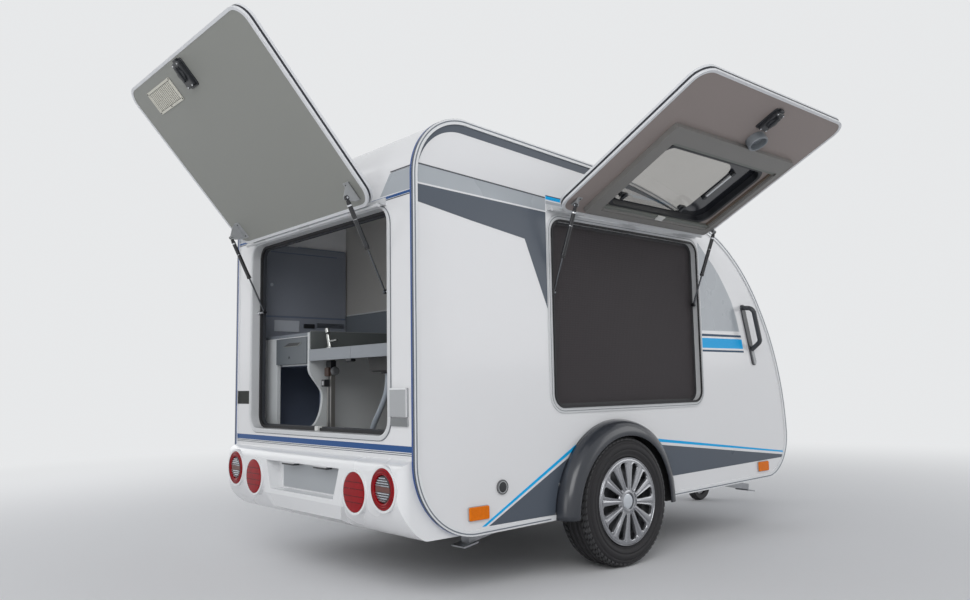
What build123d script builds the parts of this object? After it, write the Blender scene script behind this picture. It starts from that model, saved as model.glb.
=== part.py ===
from build123d import *
import math
import os

# A small teardrop caravan with a kitchen hatch at the rear and a hatch in each side.
# Lengths are millimetres and angles are degrees. While it is built, X is measured forward
# from the rear wall, Y is measured to the left from the middle and Z up from the ground.
# The last step moves every piece so that the origin is the middle of the tow ball.

# Body
HALF_WIDTH = 735.0
SIDE_WALL = 30.0
SKIN_WALL = 28.0
FLOOR_LOW = 350.0
FLOOR_WALL = 30.0
REAR_ARC_LOW = 1563.0
REAR_ARC_RADIUS = 240.0
ROOF_BEND = (990.0, 1752.0)
ROOF_END = (1958.0, 1519.0)
NOSE_TOP_VIA = (2170.0, 1369.0)
NOSE_TOP = (2330.0, 1178.0)
NOSE_VIA = (2492.0, 850.0)
NOSE_TIP = (2551.0, 513.0)
CHIN_VIA = (2494.0, 344.0)
BELLY_FRONT = (2358.0, 272.0)
BELLY_REAR = (276.0, 234.0)
HEEL_VIA = (80.0, 318.0)
HEEL_TOP = 520.0
FRONT_PANEL_REAR = 1700.0
FRONT_SKIN_LOW = 355.0
TRIM_PROUD = 5.0
TRIM_LAP = 16.0
TRIM_FACE = 6.0
TRIM_RETURN = 14.0

# Frames and seals round the three hatches
FRAME_PROUD = 6.0
FRAME_LINER = 8.0
FRAME_DEPTH_IN = 36.0
SEAL_HEIGHT = 6.0
SEAL_WIDTH = 12.0
SEAL_LAP = 6.0
HATCH_GAP = 12.0
HATCH_WALL = 30.0
HATCH_EDGE = 12.0
EDGE_GROOVE = 5.0
CORNER = 62.0

# Rear opening and its hatch
REAR_OPEN_HALF = 556.0
REAR_OPEN_LOW = 626.0
REAR_OPEN_HIGH = 1446.0
REAR_FLANGE = 28.0
REAR_HATCH_LAP = 6.0
REAR_HATCH_HALF = REAR_OPEN_HALF + REAR_HATCH_LAP
REAR_HINGE_X = -34.0
REAR_HINGE_Z = REAR_OPEN_HIGH + 24.0
REAR_HATCH_LOW = REAR_OPEN_LOW - 8.0
REAR_OPEN_ANGLE = 138.6

# Side openings and their hatches
SIDE_OPEN_X = (712.0, 1750.0)
SIDE_OPEN_Z = (690.0, 1476.0)
SIDE_FLANGE = 26.0
SIDE_HATCH_LAP = 17.0
SIDE_HATCH_X = (SIDE_OPEN_X[0] - SIDE_HATCH_LAP - 5, SIDE_OPEN_X[1] + SIDE_HATCH_LAP - 5)
SIDE_HINGE_Y = HALF_WIDTH + 35.0
SIDE_HINGE_Z = SIDE_OPEN_Z[1] + 36.0
SIDE_HATCH_LOW = SIDE_OPEN_Z[0] - 34.0
SIDE_OPEN_ANGLE = 117.2
WINDOW_X = (902.0, 1622.0)
WINDOW_Z = (1016.0, 1404.0)
WINDOW_CORNER = 66.0
WINDOW_LAP = 22.0
WINDOW_THICK = 9.0
WINDOW_FRAME = 9.0
CASSETTE_X = (822.0, 1700.0)
CASSETTE_Z = (914.0, 1464.0)
CASSETTE_OPEN_X = (890.0, 1668.0)
CASSETTE_OPEN_Z = (992.0, 1432.0)
CASSETTE_DEPTH = 22.0
SCREEN_INSET = 24.0
SCREEN_THICK = 3.0

# Hinges
KNUCKLE_RADIUS = 8.0
KNUCKLE_GAP = 0.3
HINGE_LEAF = 5.0
HATCH_BELOW_HINGE = 14.0

# Gas struts
REAR_STRUT_OFF_JAMB = 48.0
SIDE_STRUT_OFF_JAMB = 18.0
STRUT_EYE_RADIUS = 9.0
STRUT_EYE_WIDTH = 10.0
STRUT_PIN_RADIUS = 4.0
PIN_CLEARANCE = 0.05
BARREL_RADIUS = 9.0
ROD_RADIUS = 4.0
EAR_WALL = 4.0
STUD_GAP = 0.8
ROD_OVERLAP = 14.0
BORE_START = 27.0
REAR_PIVOT = (87.0, 67.0)
REAR_ROD_END = (30.0, REAR_HINGE_Z - 322.0)
REAR_BARREL = 208.0
SIDE_PIVOT = (87.0, 41.0)
SIDE_ROD_END = (HALF_WIDTH - 7.0, SIDE_HINGE_Z - 345.0)
SIDE_BARREL = 224.0

# Wheels, axle and arches
WHEEL_X = 1090.0
TYRE_RADIUS = 276.0
TYRE_OUTER_Y = HALF_WIDTH + 65.0
TYRE_WIDTH = 165.0
RIM_RADIUS = 178.0
RIM_WALL = 4.0
CAP_RADIUS = 188.0
CAP_FACE_Y = TYRE_OUTER_Y - 3.0
HUB_RADIUS = 55.0
SPINDLE_RADIUS = 20.0
ARCH_CENTRE_Z = 235.0
ARCH_RADIUS = 392.0
ARCH_LIP_RADIUS = 352.0
ARCH_PROUD = 78.0
ARCH_WALL = 5.0
WHEEL_BOX_RADIUS = 346.0
WHEEL_BOX_INNER_Y = TYRE_OUTER_Y - 200.0
AXLE_X = 1250.0
AXLE_Z = 255.0
AXLE_TUBE = 60.0
ARM_WALL = 20.0
ARM_OUTER_Y = WHEEL_BOX_INNER_Y - 8.0

# Chassis, drawbar and coupling
RAIL_HIGH = FLOOR_LOW
RAIL_HEIGHT = 60.0
RAIL_WIDTH = 50.0
RAIL_WALL = 4.0
RAIL_Y = 455.0
RAIL_REAR_X = 70.0
RAIL_BEND_X = 1500.0
CROSS_MEMBERS_X = (120.0, 760.0, 1460.0)
NOSE_X = 3180.0
NOSE_Y = 58.0
BALL_X = 3450.0
BALL_Z = 398.0
BALL_SOCKET_RADIUS = 25.4
SHANK_RADIUS = 30.0

# Jockey wheel
JOCKEY_X = 3030.0
JOCKEY_TUBE_RADIUS = 24.0
JOCKEY_WHEEL_RADIUS = 100.0
JOCKEY_WHEEL_WIDTH = 55.0
JOCKEY_TRAIL = 36.0

# Corner steadies
STEADY_ARM = 440.0
STEADY_PIVOT_Z = 262.0
STEADY_DROOP = 10.0
STEADIES = (
    # place, X and Y of the pivot on the right side, way the leg points
    ("front", 2060.0, -500.0, 1),
    ("rear", 800.0, -560.0, -1),
)

# Rear bumper and lamps
BUMPER_PROUD = 52.0
BUMPER_TOP = 524.0
BUMPER_WALL = 6.0
BUMPER_HALF = HALF_WIDTH - TRIM_RETURN
BUMPER_CORNER = 40.0
BUMPER_CORNER_AHEAD = 0.5
BUMPER_BLOCK_HALF = 322.0
LAMP_RADIUS = 75.0
LAMP_BODY_RADIUS = 70.0
LAMP_CLEARANCE = 0.5
OUTER_LAMP = (HALF_WIDTH - 123.0, 420.0)
INNER_LAMP = (HALF_WIDTH - 314.0, 394.0)
LAMP_COLLAR = 9.0
PLATE_HALF_TOP = 307.0
PLATE_HALF_BOTTOM = 262.0
PLATE_Z = (352.0, 474.0)
PLATE_DEPTH = 60.0
PLATE_SEAT = (510.0, 104.0)
PLATE_SEAT_PROUD = 2.0

# Service covers beside the rear opening
COVER_WIDTH = 106.0
COVER_Z = (676.0, 780.0)
LOWER_COVER_Z = (641.0, 673.0)

# Kitchen
PARTITION_X = 600.0
PARTITION_WALL = 15.0
BOARD = 16.0
KITCHEN_FRONT_X = 96.0
CABINET_Y = 212.0
CABINET_TOP = 1036.0
DRAWER_LEFT_Y = 492.0
DRAWER_LOW = 896.0
WORKTOP_HIGH = 958.0
FASCIA_LOW = 906.0
LOCKER_X = (150.0, 600.0)
LOCKER_Z = (1146.0, 1512.0)
LOCKER_DEPTH = 120.0
SINK_X = (150.0, 430.0)
SINK_Y = (-520.0, -170.0)
SINK_DEPTH = 110.0
LID_HEIGHT = 92.0
LID_X = (112.0, 580.0)
TAP = (150.0, 128.0)
DRAIN = (210.0, -262.0)
POST_X = 170.0
POST_Y = 130.0
POST_SIZE = (20.0, 36.0)
HOSE_X = 210.0
HOSE_RADIUS = 12.0
HOSE_ROUTE = (
    # Y, Z
    (-262.0, 840.0),
    (-262.0, 776.0),
    (-208.0, 694.0),
    (-134.0, 604.0),
    (-112.0, 486.0),
    (-132.0, 382.5),
)

# Cabin
MATTRESS_X = (640.0, 2390.0)
MATTRESS_Y = (10.0 - WHEEL_BOX_INNER_Y, WHEEL_BOX_INNER_Y - 10.0)
MATTRESS_Z = (380.0, 500.0)

TO_BALL = Pos(-BALL_X, 0, -BALL_Z)
os.makedirs("parts", exist_ok=True)


def block(x, y, z):
    """A box between a pair of limits along each axis."""
    middle = Pos(sum(x) / 2, sum(y) / 2, sum(z) / 2)
    return middle * Box(x[1] - x[0], y[1] - y[0], z[1] - z[0])


def cylinder_along(axis, start, end, centre, radius):
    """A round bar along X, Y or Z, where centre gives the other two places in order."""
    a, b = centre
    origin = {"X": (start, a, b), "Y": (a, start, b), "Z": (a, b, start)}[axis]
    direction = {"X": (1, 0, 0), "Y": (0, 1, 0), "Z": (0, 0, 1)}[axis]
    return extrude(Plane(origin=origin, z_dir=direction) * Circle(radius), end - start)


def rounded_in_yz(x, y, z, radius):
    """A plate that faces rearward, with rounded corners."""
    plane = Plane(origin=(x[0], sum(y) / 2, sum(z) / 2), x_dir=(0, 1, 0), z_dir=(1, 0, 0))
    return extrude(plane * RectangleRounded(y[1] - y[0], z[1] - z[0], radius), x[1] - x[0])


def rounded_in_xz(x, y, z, radius):
    """A plate that faces sideways, with rounded corners."""
    plane = Plane(origin=(sum(x) / 2, y[0], sum(z) / 2), x_dir=(1, 0, 0), z_dir=(0, 1, 0))
    return extrude(plane * RectangleRounded(x[1] - x[0], z[1] - z[0], radius), y[1] - y[0])


def bar_between(p, q, radius):
    """A round bar between two points."""
    along = Vector(*q) - Vector(*p)
    return extrude(Plane(origin=p, z_dir=along) * Circle(radius), along.length)


def other_side(shape):
    """The same piece on the other side of the vehicle."""
    return mirror(shape, Plane.XZ)


def both_sides(shape):
    return shape + other_side(shape)


def save(name, shape):
    export_step(TO_BALL * shape, f"parts/{name}.step")


# The outline of the body seen from the side, as one face at Y = 0

def at(point):
    return (point[0], 0, point[1])


def body_outline():
    roof_start = (REAR_ARC_RADIUS, REAR_ARC_LOW + REAR_ARC_RADIUS)
    corner = REAR_ARC_RADIUS * math.sqrt(0.5)
    roof_arc_via = (REAR_ARC_RADIUS - corner, REAR_ARC_LOW + corner)
    roof = Line(at(roof_start), at(ROOF_BEND))
    roof_slope = (ROOF_BEND[0] - roof_start[0], 0, ROOF_BEND[1] - roof_start[1])
    edges = [
        Line((0, 0, HEEL_TOP), (0, 0, REAR_ARC_LOW)),
        ThreePointArc((0, 0, REAR_ARC_LOW), at(roof_arc_via), at(roof_start)),
        roof,
        TangentArc([at(ROOF_BEND), at(ROOF_END)], tangent=roof_slope),
        ThreePointArc(at(ROOF_END), at(NOSE_TOP_VIA), at(NOSE_TOP)),
        ThreePointArc(at(NOSE_TOP), at(NOSE_VIA), at(NOSE_TIP)),
        ThreePointArc(at(NOSE_TIP), at(CHIN_VIA), at(BELLY_FRONT)),
        Line(at(BELLY_FRONT), at(BELLY_REAR)),
        ThreePointArc(at(BELLY_REAR), at(HEEL_VIA), (0, 0, HEEL_TOP)),
    ]
    return Face(Wire(edges))


def along_y(face, y):
    """A face at Y = 0 drawn out between two places across the vehicle."""
    return Pos(0, y[0], 0) * extrude(face, y[1] - y[0], dir=(0, 1, 0))


outline = body_outline()
skin_inside = offset(outline, -SKIN_WALL)
trim_outside = offset(outline, TRIM_PROUD)
trim_inside = offset(outline, -TRIM_LAP)
SKIN_HALF = HALF_WIDTH - SIDE_WALL
FAR = 4000.0

inside_room = along_y(skin_inside, (-SKIN_HALF, SKIN_HALF))


# Shell panels

def side_wall():
    """The right side wall, with its hatch opening and the cut for the wheel."""
    wall = along_y(outline, (-HALF_WIDTH, -SKIN_HALF))
    hole_x = (SIDE_OPEN_X[0] - FRAME_LINER, SIDE_OPEN_X[1] + FRAME_LINER)
    hole_z = (SIDE_OPEN_Z[0] - FRAME_LINER, SIDE_OPEN_Z[1] + FRAME_LINER)
    through = (-HALF_WIDTH - 1, -SKIN_HALF + 1)
    wall -= rounded_in_xz(hole_x, through, hole_z, CORNER)
    wall -= cylinder_along("Y", *through, (WHEEL_X, ARCH_CENTRE_Z), WHEEL_BOX_RADIUS)
    return wall


right_wall = side_wall()
save("side_walls", both_sides(right_wall))

skin = along_y(outline, (-SKIN_HALF, SKIN_HALF)) - inside_room
roof_panel = skin & block((0, FRONT_PANEL_REAR), (-FAR, FAR), (REAR_ARC_LOW, FAR))
front_panel = skin & block((FRONT_PANEL_REAR, FAR), (-FAR, FAR), (FRONT_SKIN_LOW, FAR))
save("roof_panel", roof_panel)
save("front_panel", front_panel)

rear_wall = block((0, SKIN_WALL), (-SKIN_HALF, SKIN_HALF), (HEEL_TOP, REAR_ARC_LOW))
rear_wall -= rounded_in_yz(
    (-1, SKIN_WALL + 1),
    (-REAR_OPEN_HALF - FRAME_LINER, REAR_OPEN_HALF + FRAME_LINER),
    (REAR_OPEN_LOW - FRAME_LINER, REAR_OPEN_HIGH + FRAME_LINER),
    CORNER,
)
save("rear_wall", rear_wall)

floor_z = (FLOOR_LOW, FLOOR_LOW + FLOOR_WALL)
floor_panel = inside_room & block((SKIN_WALL, FAR), (-FAR, FAR), floor_z)
box_cut_y = (-SKIN_HALF - 1, -WHEEL_BOX_INNER_Y)
box_cut = block((WHEEL_X - WHEEL_BOX_RADIUS, WHEEL_X + WHEEL_BOX_RADIUS), box_cut_y, floor_z)
floor_panel -= both_sides(box_cut)


def wheel_box():
    """The half-round housing inside the right wall over the wheel."""
    y = (-SKIN_HALF, -WHEEL_BOX_INNER_Y)
    centre = (WHEEL_X, ARCH_CENTRE_Z)
    outer = cylinder_along("Y", *y, centre, WHEEL_BOX_RADIUS)
    hollow_y = (y[0] - 1, y[1] - ARCH_WALL)
    hollow = cylinder_along("Y", *hollow_y, centre, WHEEL_BOX_RADIUS - ARCH_WALL)
    return (outer - hollow) & block((0, FAR), (-FAR, FAR), (FLOOR_LOW, FAR))


save("floor_panel", floor_panel + both_sides(wheel_box()))


def edge_trim():
    """The aluminium strip that runs round the right wall over its joint with the skin."""
    lip = extrude(trim_outside - trim_inside, TRIM_FACE, dir=(0, 1, 0))
    lip = Pos(0, -HALF_WIDTH - TRIM_FACE, 0) * lip
    return_y = (-HALF_WIDTH, -HALF_WIDTH + TRIM_RETURN)
    rail = along_y(trim_outside - outline, return_y)
    return lip + rail


trim = edge_trim()
wheel_gap = cylinder_along("Y", -FAR, 0, (WHEEL_X, ARCH_CENTRE_Z), ARCH_RADIUS)
trim -= wheel_gap
save("edge_trims", both_sides(trim))


# Arch covers over the wheels

def wheel_arch():
    """The right arch cover, a curved section turned through half a circle."""
    def point(radius, proud):
        return (WHEEL_X + radius, -HALF_WIDTH - proud, ARCH_CENTRE_Z)
    outer = ThreePointArc(
        point(ARCH_RADIUS, 0),
        point(ARCH_RADIUS - 8, ARCH_PROUD * 0.68),
        point(ARCH_LIP_RADIUS, ARCH_PROUD),
    )
    lip = Line(point(ARCH_LIP_RADIUS, ARCH_PROUD), point(ARCH_LIP_RADIUS - 9, ARCH_PROUD))
    tuck = Line(point(ARCH_LIP_RADIUS - 9, ARCH_PROUD), point(ARCH_LIP_RADIUS - 9, ARCH_PROUD - ARCH_WALL))
    inner = ThreePointArc(
        point(ARCH_LIP_RADIUS - 9, ARCH_PROUD - ARCH_WALL),
        point(ARCH_RADIUS - 13, ARCH_PROUD * 0.62),
        point(ARCH_RADIUS - ARCH_WALL, 0),
    )
    foot = Line(point(ARCH_RADIUS - ARCH_WALL, 0), point(ARCH_RADIUS, 0))
    section = Face(Wire([outer, lip, tuck, inner, foot]))
    turn_axis = Axis((WHEEL_X, 0, ARCH_CENTRE_Z), (0, -1, 0))
    return revolve(section, turn_axis, 180)


save("wheel_arches", both_sides(wheel_arch()))


# Frames, seals and hatches

def ring_yz(x, y, z, radius, width):
    """A rounded rectangular ring that faces rearward, width measured inward."""
    inner = rounded_in_yz(
        (x[0] - 1, x[1] + 1),
        (y[0] + width, y[1] - width),
        (z[0] + width, z[1] - width),
        max(radius - width, 5),
    )
    return rounded_in_yz(x, y, z, radius) - inner


def ring_xz(x, y, z, radius, width):
    """A rounded rectangular ring that faces sideways, width measured inward."""
    inner = rounded_in_xz(
        (x[0] + width, x[1] - width),
        (y[0] - 1, y[1] + 1),
        (z[0] + width, z[1] - width),
        max(radius - width, 5),
    )
    return rounded_in_xz(x, y, z, radius) - inner


def grown(limits, by):
    return (limits[0] - by, limits[1] + by)


rear_open_y = (-REAR_OPEN_HALF, REAR_OPEN_HALF)
rear_open_z = (REAR_OPEN_LOW, REAR_OPEN_HIGH)
rear_frame = ring_yz(
    (-FRAME_PROUD, 0),
    grown(rear_open_y, REAR_FLANGE),
    grown(rear_open_z, REAR_FLANGE),
    CORNER + REAR_FLANGE - FRAME_LINER,
    REAR_FLANGE,
)
rear_frame += ring_yz(
    (0, FRAME_DEPTH_IN),
    grown(rear_open_y, FRAME_LINER),
    grown(rear_open_z, FRAME_LINER),
    CORNER,
    FRAME_LINER,
)
rear_seal = ring_yz(
    (-FRAME_PROUD - SEAL_HEIGHT, -FRAME_PROUD),
    grown(rear_open_y, SEAL_LAP),
    grown(rear_open_z, SEAL_LAP),
    CORNER - FRAME_LINER + SEAL_LAP,
    SEAL_WIDTH,
)


def side_frame():
    face_y = (-HALF_WIDTH - FRAME_PROUD, -HALF_WIDTH)
    frame = ring_xz(
        grown(SIDE_OPEN_X, SIDE_FLANGE),
        face_y,
        grown(SIDE_OPEN_Z, SIDE_FLANGE),
        CORNER + SIDE_FLANGE - FRAME_LINER,
        SIDE_FLANGE,
    )
    liner_y = (-HALF_WIDTH, -HALF_WIDTH + FRAME_DEPTH_IN)
    frame += ring_xz(
        grown(SIDE_OPEN_X, FRAME_LINER),
        liner_y,
        grown(SIDE_OPEN_Z, FRAME_LINER),
        CORNER,
        FRAME_LINER,
    )
    return frame


def side_seal():
    seal_y = (-HALF_WIDTH - FRAME_PROUD - SEAL_HEIGHT, -HALF_WIDTH - FRAME_PROUD)
    return ring_xz(
        grown(SIDE_OPEN_X, SEAL_LAP),
        seal_y,
        grown(SIDE_OPEN_Z, SEAL_LAP),
        CORNER - FRAME_LINER + SEAL_LAP,
        SEAL_WIDTH,
    )


save("hatch_seals", rear_seal + both_sides(side_seal()))

screen_y = (-HALF_WIDTH + SCREEN_INSET, -HALF_WIDTH + SCREEN_INSET + SCREEN_THICK)
screen = rounded_in_xz(SIDE_OPEN_X, screen_y, SIDE_OPEN_Z, CORNER - FRAME_LINER)
save("insect_screen_right", screen)

# Hinge knuckles run in turn along the top of each hatch: share of its length, and who holds them
KNUCKLES = (
    # start, end, held by
    (0.00, 0.18, "body"),
    (0.18, 0.46, "hatch"),
    (0.46, 0.54, "body"),
    (0.54, 0.82, "hatch"),
    (0.82, 1.00, "body"),
)


def knuckle_spans(start, length, holder):
    for low, high, held_by in KNUCKLES:
        if held_by == holder:
            yield (start + low * length + KNUCKLE_GAP / 2, start + high * length - KNUCKLE_GAP / 2)


def rear_hinge(holder):
    """Knuckles and leaf of the rear hinge, for the body or for the closed hatch."""
    pieces = Part()
    for low, high in knuckle_spans(-REAR_HATCH_HALF, 2 * REAR_HATCH_HALF, holder):
        pieces += cylinder_along("Y", low, high, (REAR_HINGE_X, REAR_HINGE_Z), KNUCKLE_RADIUS)
        if holder == "body":
            web_x = (REAR_HINGE_X, 0)
            web_z = (REAR_HINGE_Z, REAR_HINGE_Z + HINGE_LEAF)
        else:
            web_x = (REAR_HINGE_X - HINGE_LEAF, REAR_HINGE_X)
            web_z = (REAR_HINGE_Z - HATCH_BELOW_HINGE - 8, REAR_HINGE_Z)
        pieces += block(web_x, (low, high), web_z)
    if holder == "body":
        leaf_z = (REAR_HINGE_Z - 10, REAR_HINGE_Z + 32)
        pieces += block((-HINGE_LEAF, 0), (-REAR_HATCH_HALF, REAR_HATCH_HALF), leaf_z)
    return pieces


def side_hinge(holder):
    """Knuckles and leaf of the right side hinge, for the body or for the closed hatch."""
    pieces = Part()
    start, end = SIDE_HATCH_X
    for low, high in knuckle_spans(start, end - start, holder):
        pieces += cylinder_along("X", low, high, (-SIDE_HINGE_Y, SIDE_HINGE_Z), KNUCKLE_RADIUS)
        if holder == "body":
            web_y = (-SIDE_HINGE_Y, -HALF_WIDTH)
            web_z = (SIDE_HINGE_Z, SIDE_HINGE_Z + HINGE_LEAF)
        else:
            web_y = (-SIDE_HINGE_Y - HINGE_LEAF, -SIDE_HINGE_Y)
            web_z = (SIDE_HINGE_Z - HATCH_BELOW_HINGE - 8, SIDE_HINGE_Z)
        pieces += block((low, high), web_y, web_z)
    if holder == "body":
        leaf_z = (SIDE_HINGE_Z - 6, SIDE_HINGE_Z + 26)
        pieces += block((start, end), (-HALF_WIDTH - HINGE_LEAF, -HALF_WIDTH), leaf_z)
    return pieces


rear_axis = Axis((REAR_HINGE_X, 0, REAR_HINGE_Z), (0, 1, 0))
side_axis = Axis((0, -SIDE_HINGE_Y, SIDE_HINGE_Z), (1, 0, 0))


def rear_opened(shape):
    return shape.rotate(rear_axis, REAR_OPEN_ANGLE)


def side_opened(shape):
    return shape.rotate(side_axis, -SIDE_OPEN_ANGLE)


# Rear hatch, drawn closed
rear_hatch_x = (-HATCH_GAP - FRAME_PROUD - HATCH_WALL, -HATCH_GAP - FRAME_PROUD)
rear_hatch_y = (-REAR_HATCH_HALF, REAR_HATCH_HALF)
rear_hatch_z = (REAR_HATCH_LOW, REAR_HINGE_Z - HATCH_BELOW_HINGE)
rear_panel = rounded_in_yz(
    (rear_hatch_x[0] + 2, rear_hatch_x[1] - 2),
    grown(rear_hatch_y, -HATCH_EDGE),
    grown(rear_hatch_z, -HATCH_EDGE),
    CORNER,
)
rear_edge = ring_yz(rear_hatch_x, rear_hatch_y, rear_hatch_z, CORNER + HATCH_EDGE, HATCH_EDGE)
groove_x = (sum(rear_hatch_x) / 2 - EDGE_GROOVE, sum(rear_hatch_x) / 2 + EDGE_GROOVE)
rear_edge -= ring_yz(groove_x, rear_hatch_y, rear_hatch_z, CORNER + HATCH_EDGE, EDGE_GROOVE)
rear_edge += rear_hinge("hatch")
inner_face_x = rear_hatch_x[1] - 2

ear_outer_y = REAR_OPEN_HALF - REAR_STRUT_OFF_JAMB - STRUT_EYE_WIDTH / 2 - 1
ear_y = (ear_outer_y - EAR_WALL, ear_outer_y)
pivot_x = REAR_HINGE_X + REAR_PIVOT[1]
pivot_z = REAR_HINGE_Z - REAR_PIVOT[0]
pin_y = (ear_y[1], REAR_OPEN_HALF - REAR_STRUT_OFF_JAMB + STRUT_EYE_WIDTH / 2 + 2)


def rear_ear():
    plate_y = (ear_y[0] - 36, ear_y[1])
    bracket = block((inner_face_x, inner_face_x + EAR_WALL), plate_y, (pivot_z - 42, pivot_z + 42))
    ear = Face(Wire.make_polygon([
        (inner_face_x, 0, pivot_z - 42),
        (inner_face_x, 0, pivot_z + 42),
        (pivot_x, 0, pivot_z + 9),
        (pivot_x + 8, 0, pivot_z),
        (pivot_x, 0, pivot_z - 10),
    ], close=True))
    bracket += along_y(ear, ear_y)
    bracket += cylinder_along("Y", ear_y[0], pin_y[1], (pivot_x, pivot_z), STRUT_PIN_RADIUS)
    return bracket


rear_brackets = both_sides(rear_ear())

latch_z = (REAR_OPEN_LOW + 16, REAR_OPEN_LOW + 138)
latch_y = (-16, 58)
rear_latch = rounded_in_yz((inner_face_x, inner_face_x + 22), latch_y, latch_z, 14)
knob_z = (latch_z[0] + 18, latch_z[1] - 34)
rear_latch += rounded_in_yz((inner_face_x + 22, inner_face_x + 36), grown(latch_y, -14), knob_z, 10)
vent_z = (672, 776)
rear_vent = rounded_in_yz((inner_face_x, inner_face_x + 4), (162, 412), vent_z, 8)

save("rear_hatch_panel", rear_opened(rear_panel))
save("rear_hatch_edge", rear_opened(rear_edge))
save("rear_hatch_fittings", rear_opened(rear_brackets + rear_latch + rear_vent))


# Side hatch, drawn closed on the right
side_hatch_y = (
    -HALF_WIDTH - FRAME_PROUD - HATCH_GAP - HATCH_WALL,
    -HALF_WIDTH - FRAME_PROUD - HATCH_GAP,
)
side_hatch_z = (SIDE_HATCH_LOW, SIDE_HINGE_Z - HATCH_BELOW_HINGE)
side_inner_y = side_hatch_y[1] - 2
side_outer_y = side_hatch_y[0] + 2


def side_panel():
    panel = rounded_in_xz(
        grown(SIDE_HATCH_X, -HATCH_EDGE),
        (side_outer_y, side_inner_y),
        grown(side_hatch_z, -HATCH_EDGE),
        CORNER,
    )
    return panel - rounded_in_xz(WINDOW_X, grown(side_hatch_y, 1), WINDOW_Z, WINDOW_CORNER)


def side_edge():
    edge = ring_xz(SIDE_HATCH_X, side_hatch_y, side_hatch_z, CORNER + HATCH_EDGE, HATCH_EDGE)
    middle = sum(side_hatch_y) / 2
    groove_y = (middle - EDGE_GROOVE, middle + EDGE_GROOVE)
    edge -= ring_xz(SIDE_HATCH_X, groove_y, side_hatch_z, CORNER + HATCH_EDGE, EDGE_GROOVE)
    return edge + side_hinge("hatch")


def side_window():
    """The outer pane with the frame that lines its hole and laps over the inner face."""
    pane_y = (side_outer_y - WINDOW_THICK, side_outer_y)
    pane_corner = WINDOW_CORNER + WINDOW_LAP
    pane = rounded_in_xz(grown(WINDOW_X, WINDOW_LAP), pane_y, grown(WINDOW_Z, WINDOW_LAP), pane_corner)
    liner_y = (side_outer_y, side_inner_y)
    lip_y = (side_inner_y, side_inner_y + 4)
    pane += ring_xz(WINDOW_X, liner_y, WINDOW_Z, WINDOW_CORNER, WINDOW_FRAME)
    lip_corner = WINDOW_CORNER + WINDOW_FRAME
    pane += ring_xz(grown(WINDOW_X, 9), lip_y, grown(WINDOW_Z, 9), lip_corner, 2 * WINDOW_FRAME)
    return pane


def window_cassette():
    y = (side_inner_y, side_inner_y + CASSETTE_DEPTH)
    cassette = rounded_in_xz(CASSETTE_X, y, CASSETTE_Z, 12)
    return cassette - rounded_in_xz(CASSETTE_OPEN_X, grown(y, 1), CASSETTE_OPEN_Z, 12)


side_pivot_y = -SIDE_HINGE_Y + SIDE_PIVOT[1]
side_pivot_z = SIDE_HINGE_Z - SIDE_PIVOT[0]
strut_x = (SIDE_OPEN_X[0] + SIDE_STRUT_OFF_JAMB, SIDE_OPEN_X[1] - SIDE_STRUT_OFF_JAMB)
ear_off = STRUT_EYE_WIDTH / 2 + 1


def side_ears():
    ears = Part()
    for centre, inward in ((strut_x[0], 1), (strut_x[1], -1)):
        near = centre + inward * ear_off
        far = near + inward * EAR_WALL
        ear_x = (min(near, far), max(near, far))
        tip = centre - inward * (ear_off + 1)
        pin_x = (min(tip, far), max(tip, far))
        ears += block(ear_x, (side_inner_y, side_pivot_y + 7), (side_pivot_z - 9, side_pivot_z + 9))
        foot_x = (min(near, near + inward * 26), max(near, near + inward * 26))
        foot_z = (side_pivot_z - 26, side_pivot_z + 26)
        ears += block(foot_x, (side_inner_y, side_inner_y + EAR_WALL), foot_z)
        ears += cylinder_along("X", *pin_x, (side_pivot_y, side_pivot_z), STRUT_PIN_RADIUS)
    return ears


def side_latch():
    y = (side_inner_y, side_inner_y + 22)
    latch_x = (1240, 1306)
    low = SIDE_OPEN_Z[0] + 10
    latch = rounded_in_xz(latch_x, y, (low, low + 118), 12)
    return latch + rounded_in_xz(grown(latch_x, -14), (y[1], y[1] + 10), (low + 22, low + 88), 8)


def side_cup():
    y = (side_inner_y, side_inner_y + 36)
    place = (1316, 868)
    cup = cylinder_along("Y", *y, place, 42)
    return cup - cylinder_along("Y", y[0] + 8, y[1] + 1, place, 35)


def side_fittings():
    return side_ears() + side_latch() + side_cup()


SIDE_HATCH_PIECES = (
    ("side_hatch_panel", side_panel),
    ("side_hatch_edge", side_edge),
    ("side_window", side_window),
    ("window_cassette", window_cassette),
    ("side_hatch_fittings", side_fittings),
)
for name, make in SIDE_HATCH_PIECES:
    piece = make()
    save(name + "_right", side_opened(piece))
    save(name + "_left", other_side(piece))


# Gas struts: a barrel on the hatch and a rod that reaches to a stud on the frame

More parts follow.
